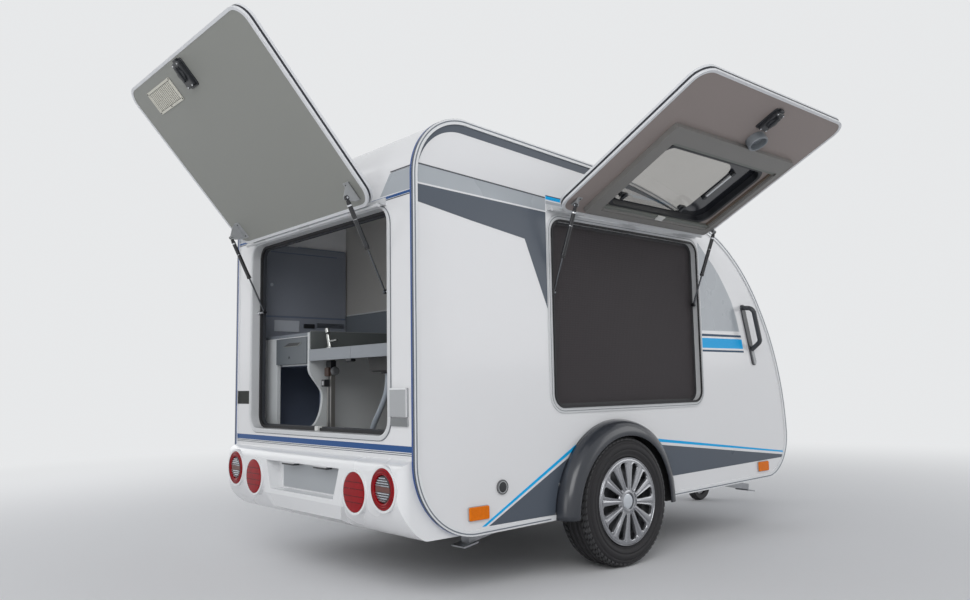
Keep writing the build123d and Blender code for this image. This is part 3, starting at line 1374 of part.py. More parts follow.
# The waste hose runs from the sink drain down to the floor

def hose_path(points):
    """Straight runs joined by arcs, each of which takes 0.45 of the shorter run beside it."""
    corners = [Vector(*point) for point in points]
    edges = []
    start = corners[0]
    for before, corner, after in zip(corners, corners[1:], corners[2:]):
        way_in = (corner - before).normalized()
        way_out = (after - corner).normalized()
        reach = 0.45 * min((corner - before).length, (after - corner).length)
        arc_start = corner - way_in * reach
        arc_end = corner + way_out * reach
        edges.append(Line(start, arc_start))
        edges.append(TangentArc([arc_start, arc_end], tangent=way_in))
        start = arc_end
    edges.append(Line(start, corners[-1]))
    return Wire(edges)


hose_line = hose_path([(HOSE_X, y, z) for y, z in HOSE_ROUTE])
hose_start = Plane(origin=hose_line @ 0, z_dir=hose_line % 0)
save("waste_hose", sweep(hose_start * Circle(HOSE_RADIUS), path=hose_line))


# Cabin, seen through the side openings and windows

save("mattress", block(MATTRESS_X, MATTRESS_Y, MATTRESS_Z))
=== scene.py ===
import bpy
import bmesh
import math
from mathutils import Matrix, Vector


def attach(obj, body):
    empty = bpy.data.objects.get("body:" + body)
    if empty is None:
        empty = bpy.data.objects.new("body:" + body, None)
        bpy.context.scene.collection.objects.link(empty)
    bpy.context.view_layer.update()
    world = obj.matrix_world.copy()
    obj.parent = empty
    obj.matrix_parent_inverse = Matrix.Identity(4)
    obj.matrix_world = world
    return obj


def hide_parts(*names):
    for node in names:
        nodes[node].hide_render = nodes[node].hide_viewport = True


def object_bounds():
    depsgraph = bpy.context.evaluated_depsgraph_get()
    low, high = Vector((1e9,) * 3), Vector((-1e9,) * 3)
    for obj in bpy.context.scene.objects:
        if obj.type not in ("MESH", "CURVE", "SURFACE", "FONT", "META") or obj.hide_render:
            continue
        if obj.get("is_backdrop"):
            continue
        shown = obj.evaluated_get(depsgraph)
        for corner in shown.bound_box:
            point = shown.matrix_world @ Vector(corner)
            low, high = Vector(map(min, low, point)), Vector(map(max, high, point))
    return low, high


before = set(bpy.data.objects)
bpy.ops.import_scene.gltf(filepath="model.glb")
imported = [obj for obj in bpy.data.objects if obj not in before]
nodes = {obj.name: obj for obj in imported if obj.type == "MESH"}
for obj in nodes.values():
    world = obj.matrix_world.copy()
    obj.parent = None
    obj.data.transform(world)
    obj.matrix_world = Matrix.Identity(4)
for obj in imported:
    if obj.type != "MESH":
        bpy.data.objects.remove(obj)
cad_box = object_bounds()

# Camera
# It stands low behind the right rear corner, about three metres off, and looks forward past the
# open rear hatch. The axes of the picture are given as three directions in the row frame.
PICTURE_RIGHT = (0.75295, -0.65786, -0.01697)
PICTURE_UP = (-0.05550, -0.08918, 0.99447)
TOWARDS_CAMERA = (-0.65573, -0.74784, -0.10366)
CAMERA_PLACE = (-5.17988, -3.09500, 0.38788)
LENS_MM = 30.24
SENSOR_MM = 36.0

camera_data = bpy.data.cameras.new("picture_camera")
camera_data.lens = LENS_MM
camera_data.sensor_width = SENSOR_MM
camera_data.clip_end = 200.0
camera = bpy.data.objects.new("picture_camera", camera_data)
bpy.context.scene.collection.objects.link(camera)
turn = Matrix((PICTURE_RIGHT, PICTURE_UP, TOWARDS_CAMERA)).transposed().to_4x4()
camera.matrix_world = Matrix.Translation(CAMERA_PLACE) @ turn
bpy.context.scene.camera = camera


# Waste hose
# A ribbed plastic drain hose, 24 mm across, which hangs from the sink's outlet and goes down
# through the floor. It is held at both ends, so its whole length shows.
REAR_WALL_X = -3.450
GROUND_Z = -0.398
HOSE_X = REAR_WALL_X + 0.210
HOSE_RADIUS = 0.012
HOSE_ROUTE = (
    # across, height above the ground
    (-0.262, 0.840),
    (-0.262, 0.776),
    (-0.208, 0.694),
    (-0.134, 0.604),
    (-0.112, 0.486),
    (-0.132, 0.3825),
)


def place(x, y, z):
    """A point given forward from the rear wall, to the left and up from the ground."""
    return Vector((REAR_WALL_X + x, y, GROUND_Z + z))


def finish(name, colour, roughness, metallic=0.0, coat=0.0, grain=0.0, grain_size=0.002,
           mottle=0.03, patch=0.3, specular=0.5, sheen=0.0):
    """A surface whose tone and gloss drift a little over it, with a fine grain in relief."""
    made = bpy.data.materials.new(name)
    made.use_nodes = True
    tree = made.node_tree
    shader = tree.nodes["Principled BSDF"]
    shader.inputs["Metallic"].default_value = metallic
    shader.inputs["Coat Weight"].default_value = coat
    shader.inputs["Coat Roughness"].default_value = 0.08
    shader.inputs["Specular IOR Level"].default_value = specular
    shader.inputs["Sheen Weight"].default_value = sheen
    where = tree.nodes.new("ShaderNodeTexCoord")
    drift = tree.nodes.new("ShaderNodeTexNoise")
    drift.inputs["Scale"].default_value = 1.0 / patch
    drift.inputs["Detail"].default_value = 3.0
    tree.links.new(where.outputs["Object"], drift.inputs["Vector"])
    tone = tree.nodes.new("ShaderNodeMix")
    tone.data_type = "RGBA"
    tone.inputs["A"].default_value = [c * (1 - mottle) for c in colour] + [1.0]
    tone.inputs["B"].default_value = [min(1.0, c * (1 + mottle)) for c in colour] + [1.0]
    tree.links.new(drift.outputs["Fac"], tone.inputs["Factor"])
    tree.links.new(tone.outputs["Result"], shader.inputs["Base Color"])
    gloss = tree.nodes.new("ShaderNodeMapRange")
    gloss.inputs["To Min"].default_value = max(0.02, roughness - 0.06)
    gloss.inputs["To Max"].default_value = min(1.0, roughness + 0.06)
    tree.links.new(drift.outputs["Fac"], gloss.inputs["Value"])
    tree.links.new(gloss.outputs["Result"], shader.inputs["Roughness"])
    if grain:
        fine = tree.nodes.new("ShaderNodeTexNoise")
        fine.inputs["Scale"].default_value = 1.0 / grain_size
        fine.inputs["Detail"].default_value = 2.0
        relief = tree.nodes.new("ShaderNodeBump")
        relief.inputs["Strength"].default_value = 0.6
        relief.inputs["Distance"].default_value = grain
        tree.links.new(where.outputs["Object"], fine.inputs["Vector"])
        tree.links.new(fine.outputs["Fac"], relief.inputs["Height"])
        tree.links.new(relief.outputs["Normal"], shader.inputs["Normal"])
    return made


def dress(node, material):
    """Gives a node of the solid model its finish."""
    data = nodes[node].data
    data.materials.clear()
    data.materials.append(material)


def link(obj, body, slot, *materials):
    """Puts a finished piece on its body with its finish."""
    bpy.context.scene.collection.objects.link(obj)
    for material in materials:
        obj.data.materials.append(material)
    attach(obj, body)
    return obj


hose_plastic = finish("grey_hose", (0.36, 0.40, 0.45), 0.38, grain=0.0008, grain_size=0.004)
hose_line = bpy.data.curves.new("waste_hose_line", "CURVE")
hose_line.dimensions = "3D"
hose_line.resolution_u = 24
hose_line.bevel_depth = HOSE_RADIUS
hose_line.bevel_resolution = 6
hose_line.use_fill_caps = True
hose_spline = hose_line.splines.new("NURBS")
hose_spline.points.add(len(HOSE_ROUTE) - 1)
for point, (y, z) in zip(hose_spline.points, HOSE_ROUTE):
    point.co = (*(place(0, y, z) + Vector((HOSE_X - REAR_WALL_X, 0, 0))), 1.0)
hose_spline.order_u = 3
hose_spline.use_endpoint_u = True
hose = link(bpy.data.objects.new("waste_hose_tube", hose_line), "trailer", "hose", hose_plastic)
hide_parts("waste_hose")
hose_exit = place(0.210, *HOSE_ROUTE[0])


# Floor, backdrop and light
# A plain pale floor and a pale backdrop. A broad soft lamp stands behind the right rear corner,
# where the sun was. Three weaker lamps and a pale world fill the shadows.
PALE = (0.80, 0.81, 0.82, 1.0)


def any_seen(tree):
    """One where the ray comes from the camera, or passes glass, or is mirrored; otherwise nought."""
    ray = tree.nodes.new("ShaderNodeLightPath")
    first = tree.nodes.new("ShaderNodeMath")
    first.operation = "MAXIMUM"
    tree.links.new(ray.outputs["Is Camera Ray"], first.inputs[0])
    tree.links.new(ray.outputs["Is Transmission Ray"], first.inputs[1])
    second = tree.nodes.new("ShaderNodeMath")
    second.operation = "MAXIMUM"
    tree.links.new(first.outputs[0], second.inputs[0])
    tree.links.new(ray.outputs["Is Glossy Ray"], second.inputs[1])
    return second.outputs[0]


def pale_floor(name):
    """A pale floor that takes the shadow, and runs out into the tone of the backdrop."""
    made = bpy.data.materials.new(name)
    made.use_nodes = True
    tree = made.node_tree
    shader = tree.nodes["Principled BSDF"]
    shader.inputs["Base Color"].default_value = (0.80, 0.80, 0.81, 1.0)
    shader.inputs["Roughness"].default_value = 0.9
    shader.inputs["Specular IOR Level"].default_value = 0.1
    far = tree.nodes.new("ShaderNodeEmission")
    far.inputs["Color"].default_value = PALE
    where = tree.nodes.new("ShaderNodeTexCoord")
    from_middle = tree.nodes.new("ShaderNodeVectorMath")
    from_middle.operation = "DISTANCE"
    from_middle.inputs[1].default_value = (-2.2, 0.0, GROUND_Z)
    tree.links.new(where.outputs["Object"], from_middle.inputs[0])
    fade = tree.nodes.new("ShaderNodeMapRange")
    fade.interpolation_type = "SMOOTHSTEP"
    fade.inputs["From Min"].default_value = 1.6
    fade.inputs["From Max"].default_value = 7.5
    tree.links.new(from_middle.outputs["Value"], fade.inputs["Value"])
    share = tree.nodes.new("ShaderNodeMath")
    share.operation = "MULTIPLY"
    tree.links.new(fade.outputs["Result"], share.inputs[0])
    tree.links.new(any_seen(tree), share.inputs[1])
    mix = tree.nodes.new("ShaderNodeMixShader")
    tree.links.new(share.outputs[0], mix.inputs[0])
    tree.links.new(shader.outputs[0], mix.inputs[1])
    tree.links.new(far.outputs[0], mix.inputs[2])
    tree.links.new(mix.outputs[0], tree.nodes["Material Output"].inputs["Surface"])
    return made


floor_mesh = bpy.data.meshes.new("studio_floor")
FLOOR_REACH = 60.0
floor_mesh.from_pydata(
    [(x * FLOOR_REACH, y * FLOOR_REACH, GROUND_Z) for x, y in ((-1, -1), (1, -1), (1, 1), (-1, 1))],
    [],
    [(0, 1, 2, 3)],
)
floor = bpy.data.objects.new("studio_floor", floor_mesh)
bpy.context.scene.collection.objects.link(floor)
floor_mesh.materials.append(pale_floor("pale_floor"))
floor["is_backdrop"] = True

world = bpy.data.worlds.new("pale_world")
bpy.context.scene.world = world
world.use_nodes = True
sky = world.node_tree
sky_light = sky.nodes["Background"]
sky_light.inputs["Color"].default_value = (0.93, 0.96, 1.0, 1.0)
sky_light.inputs["Strength"].default_value = 0.44
seen = sky.nodes.new("ShaderNodeBackground")
seen.inputs["Color"].default_value = PALE
seen.inputs["Strength"].default_value = 1.0
choose = sky.nodes.new("ShaderNodeMixShader")
sky.links.new(any_seen(sky), choose.inputs[0])
sky.links.new(sky_light.outputs[0], choose.inputs[1])
sky.links.new(seen.outputs[0], choose.inputs[2])
sky.links.new(choose.outputs[0], sky.nodes["World Output"].inputs["Surface"])

LAMPS = (
    # name, watts, width, place, point it faces
    ("key", 202.0, 4.4, (-7.7, -4.8, 4.1), (-2.2, 0.0, 0.5)),
    ("front_fill", 66.0, 4.0, (2.5, -5.0, 2.5), (-2.0, 0.0, 0.3)),
    ("left_fill", 56.0, 4.0, (-3.5, 5.5, 2.5), (-2.2, 0.0, 0.4)),
    ("rear_fill", 12.0, 1.6, (-7.0, -1.2, 0.75), (-3.2, 0.1, 0.35)),
)
for name, watts, width, stand, aim in LAMPS:
    lamp_data = bpy.data.lights.new(name, "AREA")
    lamp_data.energy = watts
    lamp_data.shape = "SQUARE"
    lamp_data.size = width
    lamp = bpy.data.objects.new(name, lamp_data)
    bpy.context.scene.collection.objects.link(lamp)
    lamp.location = stand
    lamp.rotation_euler = (Vector(aim) - Vector(stand)).to_track_quat("-Z", "Y").to_euler()
bpy.context.scene.view_settings.view_transform = "Standard"


# Shell
# Side walls, roof, nose and rear wall are sandwich panels with a gloss white sheet outside.
# The side graphics are thin printed film, laid on the sheet with sharp edges. A slate band
# along each roof edge, on the same film, is painted shadow of the trim's lip.
HALF_WIDTH = 0.735
FILM = 0.0005
gloss_white = finish("gloss_white_sheet", (0.80, 0.80, 0.81), 0.22, coat=0.3, mottle=0.012, patch=0.6)
for node in ("side_walls", "roof_panel", "front_panel"):
    dress(node, gloss_white)
film_light = finish("light_grey_film", (0.40, 0.43, 0.46), 0.28, coat=0.2, mottle=0.015)
slate_print_and_shadow = finish("slate_print_and_painted_shadow", (0.088, 0.105, 0.132), 0.30, mottle=0.02, specular=0.3)
film_line = finish("dark_line_film", (0.055, 0.06, 0.075), 0.3, mottle=0.02)
film_blue = finish("blue_film", (0.002, 0.42, 0.86), 0.30, mottle=0.02, specular=0.2)
film_deep = finish("deep_blue_film", (0.02, 0.085, 0.26), 0.30, mottle=0.02, specular=0.2)
film_navy = finish("navy_film", (0.030, 0.070, 0.13), 0.30, mottle=0.02, specular=0.2)


def arc_points(start, via, end, steps):
    """Points on the arc through three points, the last one left off."""
    ax, ay = start
    bx, by = via
    cx, cy = end
    d = 2 * (ax * (by - cy) + bx * (cy - ay) + cx * (ay - by))
    a2, b2, c2 = ax * ax + ay * ay, bx * bx + by * by, cx * cx + cy * cy
    ux = (a2 * (by - cy) + b2 * (cy - ay) + c2 * (ay - by)) / d
    uy = (a2 * (cx - bx) + b2 * (ax - cx) + c2 * (bx - ax)) / d
    radius = math.hypot(ax - ux, ay - uy)
    first = math.atan2(ay - uy, ax - ux)
    last = math.atan2(cy - uy, cx - ux)
    while last > first:
        last -= 2 * math.pi
    middle = math.atan2(by - uy, bx - ux)
    while middle > first:
        middle -= 2 * math.pi
    if middle < last:
        last += 2 * math.pi
    return [
        (ux + radius * math.cos(first + (last - first) * k / steps),
         uy + radius * math.sin(first + (last - first) * k / steps))
        for k in range(steps)
    ]


def arc_from_slope(start, slope, end):
    """The middle of the arc that leaves a point along a slope and ends at another."""
    sx, sy = slope
    dx, dy = end[0] - start[0], end[1] - start[1]
    size = math.hypot(sx, sy)
    nx, ny = -sy / size, sx / size
    radius = (dx * dx + dy * dy) / (2 * (dx * nx + dy * ny))
    cx, cy = start[0] + nx * radius, start[1] + ny * radius
    mx, my = (start[0] + end[0]) / 2 - cx, (start[1] + end[1]) / 2 - cy
    reach = math.hypot(mx, my)
    return cx + mx / reach * abs(radius), cy + my / reach * abs(radius)


ROOF_BEND = (0.990, 1.752)
ROOF_END = (1.958, 1.519)
REAR_CURVE = 0.240
ROOF_Z = 1.803
roof_slope = (ROOF_BEND[0] - REAR_CURVE, ROOF_BEND[1] - ROOF_Z)
corner = REAR_CURVE * (1 - math.sqrt(0.5))
body_outline = (
    [(0.0, 0.520)]
    + arc_points((0.0, ROOF_Z - REAR_CURVE), (corner, ROOF_Z - corner), (REAR_CURVE, ROOF_Z), 24)
    + [(REAR_CURVE, ROOF_Z)]
    + arc_points(ROOF_BEND, arc_from_slope(ROOF_BEND, roof_slope, ROOF_END), ROOF_END, 20)
    + arc_points(ROOF_END, (2.170, 1.369), (2.330, 1.178), 16)
    + arc_points((2.330, 1.178), (2.492, 0.850), (2.551, 0.513), 20)
    + arc_points((2.551, 0.513), (2.494, 0.344), (2.358, 0.272), 18)
    + [(2.358, 0.272)]
    + arc_points((0.276, 0.234), (0.080, 0.318), (0.0, 0.520), 24)
)


def inward(points, distance, closed=True):
    """The same line moved to its right hand, which is inside a body drawn rear, roof, nose."""
    moved = []
    count = len(points)
    for k, (x, z) in enumerate(points):
        before = points[(k - 1) % count] if closed or k else points[k]
        after = points[(k + 1) % count] if closed or k < count - 1 else points[k]
        ax, az = x - before[0], z - before[1]
        bx, bz = after[0] - x, after[1] - z
        la, lb = math.hypot(ax, az) or 1.0, math.hypot(bx, bz) or 1.0
        tx, tz = ax / la + bx / lb, az / la + bz / lb
        size = math.hypot(tx, tz)
        reach = distance[k] if isinstance(distance, list) else distance
        moved.append((x + tz / size * reach, z - tx / size * reach))
    return moved


def stack(mesh, rings, slot=0, closed=False):
    """Joins rings of points, each the same length, into a skin with its ends closed."""
    made = [[mesh.verts.new(p) for p in ring] for ring in rings]
    count = len(made[0])
    pairs = list(zip(made, made[1:]))
    if closed:
        pairs.append((made[-1], made[0]))
    faces = []
    for low, high in pairs:
        for k in range(count):
            faces.append(mesh.faces.new((low[k], low[(k + 1) % count], high[(k + 1) % count], high[k])))
    if not closed:
        faces.append(mesh.faces.new(made[0][::-1]))
        faces.append(mesh.faces.new(made[-1]))
    for face in faces:
        face.material_index = slot
    return faces


def prism(mesh, corners, along, slot=0):
    """A closed prism: a flat outline, and the way and distance it is drawn out."""
    stack(mesh, [corners, [corner + Vector(along) for corner in corners]], slot)


def as_data(name, mesh):
    """Turns a bmesh into mesh data, with its faces outwards."""
    bmesh.ops.recalc_face_normals(mesh, faces=mesh.faces[:])
    data = bpy.data.meshes.new(name)
    mesh.to_mesh(data)
    mesh.free()
    return data


def piece(name, mesh, body, slot, *materials, smooth=False):
    """Makes an object of a finished bmesh and puts it on its body."""
    data = as_data(name, mesh)
    for polygon in data.polygons:
        polygon.use_smooth = smooth
    return link(bpy.data.objects.new(name, data), body, slot, *materials)


def film_on_side(mesh, points, side, slot):
    """Film on the right wall, side -1, or the left one, side +1; points are (forward, up)."""
    prism(mesh, [place(x, side * HALF_WIDTH, z) for x, z in points], (0, side * FILM, 0), slot)


film_kinds = (film_light, slate_print_and_shadow, film_line, film_blue, film_navy, film_deep)
FILM_LIGHT, SLATE_PRINT_AND_SHADOW, FILM_LINE, FILM_BLUE, FILM_NAVY, FILM_DEEP = range(len(film_kinds))
SIDE_FILM = (
    # which film, corners as (forward from the rear wall, up from the ground)
    (FILM_LIGHT, ((0.018, 1.600), (0.684, 1.562), (0.684, 1.510), (0.018, 1.533))),
    (SLATE_PRINT_AND_SHADOW, ((0.018, 1.526), (0.684, 1.503), (0.684, 1.097), (0.560, 1.377), (0.276, 1.418),
                  (0.018, 1.459))),
    (FILM_LINE, ((0.018, 1.606), (0.684, 1.568), (0.684, 1.562), (0.018, 1.600))),
    (FILM_BLUE, ((0.687, 1.573), (1.740, 1.540), (1.740, 1.526), (0.687, 1.559))),
    (FILM_NAVY, ((0.687, 1.577), (1.740, 1.544), (1.740, 1.540), (0.687, 1.573))),
    (FILM_LIGHT, ((0.687, 1.553), (1.740, 1.520), (1.760, 1.505), (0.770, 1.512), (0.687, 1.540))),
    (FILM_LIGHT, ((1.780, 1.486), (1.859, 1.420), (1.912, 1.378), (1.956, 1.335), (2.014, 1.268),
                  (2.064, 1.201), (2.100, 1.125), (2.129, 1.044), (1.780, 1.040))),
    (FILM_NAVY, ((1.783, 1.024), (2.139, 1.024), (2.143, 1.013), (1.783, 1.012))),
    (FILM_BLUE, ((1.783, 1.003), (2.147, 1.003), (2.158, 0.953), (1.783, 0.953))),
    (FILM_NAVY, ((1.783, 0.944), (2.161, 0.943), (2.164, 0.933), (1.783, 0.934))),
    # a blue line over a grey panel, behind the wheel and ahead of it
    (FILM_BLUE, ((0.305, 0.258), (0.325, 0.258), (0.842, 0.521), (0.830, 0.530))),
    (SLATE_PRINT_AND_SHADOW, ((0.340, 0.257), (0.852, 0.513), (0.724, 0.380), (0.697, 0.258))),
    (FILM_BLUE, ((1.383, 0.525), (2.508, 0.398), (2.508, 0.390), (1.387, 0.511))),
    (SLATE_PRINT_AND_SHADOW, ((1.395, 0.497), (2.500, 0.378), (2.500, 0.364), (1.474, 0.345))),
)
REAR_FILM = (
    # which film, corners as (right from the middle, up from the ground)
    (FILM_LINE, ((0.727, 1.597), (0.590, 1.597), (0.590, 1.593), (0.727, 1.593))),
    (FILM_LIGHT, ((0.727, 1.590), (0.588, 1.590), (0.520, 1.510), (0.727, 1.508))),
    (FILM_DEEP, ((0.727, 1.505), (0.0, 1.505), (0.0, 1.495), (0.727, 1.495))),
    (FILM_LINE, ((0.727, 1.493), (0.0, 1.493), (0.0, 1.489), (0.727, 1.489))),
    (FILM_DEEP, ((0.727, 0.572), (0.0, 0.572), (0.0, 0.550), (0.727, 0.550))),
    (SLATE_PRINT_AND_SHADOW, ((0.727, 0.547), (0.0, 0.547), (0.0, 0.544), (0.727, 0.544))),
    (SLATE_PRINT_AND_SHADOW, ((0.727, 0.540), (0.0, 0.540), (0.0, 0.5375), (0.727, 0.5375))),
)
# A painted shadow of the trim's lip, in slate film along the roof's edge: it starts at the rear as a point
# and thins out over the front
SHADOW_START_Z = 1.60
SHADOW_END_X = 1.70
SHADOW_OFF_EDGE = 0.0160
shadow_start = next(k for k, (x, z) in enumerate(body_outline) if z > SHADOW_START_Z)
shadow_end = next(k for k, (x, z) in enumerate(body_outline) if x > SHADOW_END_X)
edge = body_outline[shadow_start:shadow_end]
shadow_widths = []
for x, z in edge:
    grow = min(1.0, x / REAR_CURVE)
    fade = min(1.0, (SHADOW_END_X - x) / 0.7)
    shadow_widths.append(SHADOW_OFF_EDGE + 0.0005 + 0.0335 * grow ** 0.6 * fade)
trim_lip_shadow = inward(edge, SHADOW_OFF_EDGE, closed=False) + inward(edge, shadow_widths, closed=False)[::-1]
films = bmesh.new()
for side in (-1, 1):
    for kind, corners in SIDE_FILM + ((SLATE_PRINT_AND_SHADOW, trim_lip_shadow),):
        film_on_side(films, corners, side, kind)
    for kind, corners in REAR_FILM:
        prism(films, [place(0, side * y, z) for y, z in corners], (-FILM, 0, 0), kind)
piece("printed_film", films, "trailer", "trim", *film_kinds)


# Edge trims
# An aluminium strip covers the joint of each side wall with the skin, all the way round. It is
# painted white, with a blue and a slate line towards the skin and a grey insert on its face.
trim_white = finish("trim_white", (0.78, 0.79, 0.80), 0.25, coat=0.3, mottle=0.015)
dress("edge_trims", trim_white)
trim_lines = bmesh.new()
TRIM_LIP = HALF_WIDTH + 0.006
ARCH_X = 1.090
ARCH_Z = 0.235
ARCH_OUT = 0.3935
fine_outline = []
for k, (x, z) in enumerate(body_outline):
    nx, nz = body_outline[(k + 1) % len(body_outline)]
    pieces = max(1, int(math.hypot(nx - x, nz - z) / 0.03))
    fine_outline += [(x + (nx - x) * i / pieces, z + (nz - z) * i / pieces) for i in range(pieces)]
past_arch = next(
    k for k, (x, z) in enumerate(fine_outline)
    if z < 0.30 and x < ARCH_X and math.hypot(x - ARCH_X, z - ARCH_Z) > ARCH_OUT
)
run = fine_outline[past_arch:] + fine_outline[:past_arch]
run = [(x, z) for x, z in run if math.hypot(x - ARCH_X, z - ARCH_Z) > ARCH_OUT]


def ribbon(mesh, line_a, line_b, lift, slot):
    """A thin closed band between two lines of points, with a given lift off them."""
    raise_by = Vector(lift)
    stack(mesh, [[a, b, b + raise_by, a + raise_by] for a, b in zip(line_a, line_b)], slot)


outside = inward(run, -0.005, closed=False)
bulge = inward(run, -0.0056, closed=False)
lip_outer = inward(run, 0.0010, closed=False)
lip_inner = inward(run, 0.0055, closed=False)
for side in (-1, 1):
    for near, far, slot in ((0.7210, 0.7290, 0), (0.7300, 0.7395, 1)):
        rings = []
        for (x, z), (bx, bz) in zip(outside, bulge):
            rings.append([place(x, side * near, z), place(x, side * far, z), place(bx, side * far, bz),
                          place(bx, side * near, bz)])
        stack(trim_lines, rings, slot)
    lines = [[place(x, side * TRIM_LIP, z) for x, z in line] for line in (lip_outer, lip_inner)]
    ribbon(trim_lines, *lines, (0, side * 0.0008, 0), 2)
trim_blue = finish("trim_blue", (0.02, 0.07, 0.26), 0.3, mottle=0.02)
trim_grey = finish("trim_insert", (0.17, 0.19, 0.22), 0.45, mottle=0.03)
piece("edge_trim_lines", trim_lines, "trailer", "trim", trim_blue, slate_print_and_shadow, trim_grey)


# Openings
# Each opening has a white moulded liner with a flange on the wall, a fine joint round the flange
# and a black rubber seal pushed on its lip. The hinge knuckles are part of the mouldings.
CORNER = 0.062
# A rectangle on a face is kept as its two limits and its corner radius
SIDE_FRAME = (((0.712, 0.690), (1.750, 1.476)), CORNER - 0.008)
white_plastic = finish("white_plastic", (0.62, 0.63, 0.64), 0.30, coat=0.15, mottle=0.02)
black_rubber = finish("black_rubber", (0.016, 0.016, 0.018), 0.62, grain=0.0003, grain_size=0.003)
joint_grey = finish("joint_grey", (0.16, 0.17, 0.19), 0.6, grain=0.0002, grain_size=0.002)
dress("side_frames", white_plastic)
bright_steel = finish("bright_steel", (0.62, 0.63, 0.65), 0.20, metallic=1.0, mottle=0.05, patch=0.01)
dress("strut_studs", bright_steel)


def loop(limits, radius, grow=0.0, steps=8):
    """Points round a rectangle with round corners, made larger by grow on every side."""
    (a0, b0), (a1, b1) = limits
    a0, b0, a1, b1 = a0 - grow, b0 - grow, a1 + grow, b1 + grow
    r = max(0.0005, radius + grow)
    points = []
    for ca, cb, first in ((a1 - r, b1 - r, 0), (a0 + r, b1 - r, 90), (a0 + r, b0 + r, 180),
                          (a1 - r, b0 + r, 270)):
        for k in range(steps + 1):
            turn = math.radians(first + 90 * k / steps)
            points.append((ca + r * math.cos(turn), cb + r * math.sin(turn)))
    return points


def rings_of(at, lines):
    """Rings on a face, each from its limits, corner radius, growth and height off the face."""
    return [[at(a, b, high) for a, b in loop(limits, radius, grow)] for limits, radius, grow, high in lines]


def rings_round(at, limits, radius, steps):
    """Rings round one rectangle, each from its growth and height off the face."""
    return rings_of(at, [(limits, radius, grow, high) for grow, high in steps])


def raised(mesh, at, limits, radius, low, high, bevel=0.001, slot=0):
    """A plate with round corners and a softened upper edge, between two heights off a face."""
    edge = ((0.0, low), (0.0, high - bevel), (-bevel * 0.3, high - bevel * 0.3), (-bevel, high))
    stack(mesh, rings_round(at, limits, radius, edge), slot)


def lap(mesh, at, outer, inner, low, high, slot=0):
    """A flat ring between two rectangles, each given by its limits, corner radius and growth."""
    stack(mesh, rings_of(at, ((*outer, low), (*outer, high), (*inner, high), (*inner, low))), slot,
          closed=True)


def band(mesh, at, limits, radius, outer, inner, low, high, slot=0):
    """A closed ring round a rectangle, from outer to inner off its line, and from low to high."""
    lap(mesh, at, (limits, radius, outer), (limits, radius, inner), low, high, slot)


def circle(at, radius, steps):
    """Points round a circle, where at gives the place for two offsets from its middle."""
    points = []
    for k in range(steps):
        turn = 2 * math.pi * k / steps
        points.append(at(radius * math.cos(turn), radius * math.sin(turn)))
    return points


def boards(mesh, rows):
    """A run of boards, one from each row of a table."""
    for row in rows:
        board(mesh, *row)


def plates(mesh, at, rows):
    """A run of raised plates on one face, one from each row of a table."""
    for row in rows:
        raised(mesh, at, *row)


def pin(mesh, at, ends, radius, slot):
    """A round pin along a face, where at gives the place for a distance and two offsets."""
    stack(mesh, [circle(lambda a, b: at(end, a, b), radius, 16) for end in ends], slot)


def off_rear(y, z, depth):
    """A point on the rear wall and a depth off it, to the rear."""
    return place(-depth, y, z)


def off_side(side):
    """The same for a side wall: side -1 is the right one."""
    return lambda x, z, depth: place(x, side * (HALF_WIDTH + depth), z)


def board(mesh, x, y, z, slot=0, bevel=0.0008):
    """A board with softened edges, given by its limits forward, left and up."""
    rings = []
    for height, inset in ((z[0], bevel), (z[0] + bevel, 0.0), (z[1] - bevel, 0.0), (z[1], bevel)):
        rings.append([
            place(x[0] + inset, y[0] + inset, height), place(x[1] - inset, y[0] + inset, height),
            place(x[1] - inset, y[1] - inset, height), place(x[0] + inset, y[1] - inset, height),
        ])
    stack(mesh, rings, slot)


# The rear wall, and the moulding in its opening: a flange, then a jamb that reaches inwards
REAR_WALL = (((-0.705, 0.520), (0.705, 1.563)), 0.001)
REAR_CLEAR_HALF = 0.568
REAR_CLEAR = (((-REAR_CLEAR_HALF, 0.604), (REAR_CLEAR_HALF, 1.467)), 0.060)
REAR_FLANGE = (((-0.588, 0.585), (0.588, 1.476)), 0.080)
wall = bmesh.new()
stack(wall, rings_of(off_rear, (
    (*REAR_WALL, 0.0, 0.0), (*REAR_WALL, 0.0, -0.030),
    (*REAR_CLEAR, 0.006, -0.030), (*REAR_CLEAR, 0.006, 0.0),
)), closed=True)
wall_piece = piece("rear_wall_panel", wall, "trailer", "white_skin", gloss_white)
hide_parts("rear_wall")
moulding = bmesh.new()
stack(moulding, rings_of(off_rear, (
    (*REAR_FLANGE, 0.0, 0.0), (*REAR_FLANGE, 0.0, 0.0045), (*REAR_FLANGE, -0.0015, 0.006),
    (*REAR_CLEAR, 0.0045, 0.006), (*REAR_CLEAR, 0.0012, 0.0048), (*REAR_CLEAR, 0.0, 0.001),
    (*REAR_CLEAR, 0.0, -0.036), (*REAR_CLEAR, 0.006, -0.036), (*REAR_CLEAR, 0.006, 0.0),
)), closed=True)
board(moulding, (-0.005, 0.0), (-0.562, 0.562), (1.474, 1.502))
HINGE_LENGTH = 1.124
for share, far_share in ((0.0, 0.18), (0.46, 0.54), (0.82, 1.0)):
    low, high = (HINGE_LENGTH * (x - 0.5) for x in (share, far_share))
    ends = (low + 0.0002, high - 0.0002)
    pin(moulding, lambda y, a, b: place(-0.034 + a, y, 1.470 + b), ends, 0.008, 0)
    board(moulding, (-0.034, 0.0), ends, (1.4725, 1.4775), 0, 0.0005)
moulding_piece = piece("rear_opening_moulding", moulding, "trailer", "white_plastic", white_plastic)
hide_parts("rear_frame")
jambs = bmesh.new()
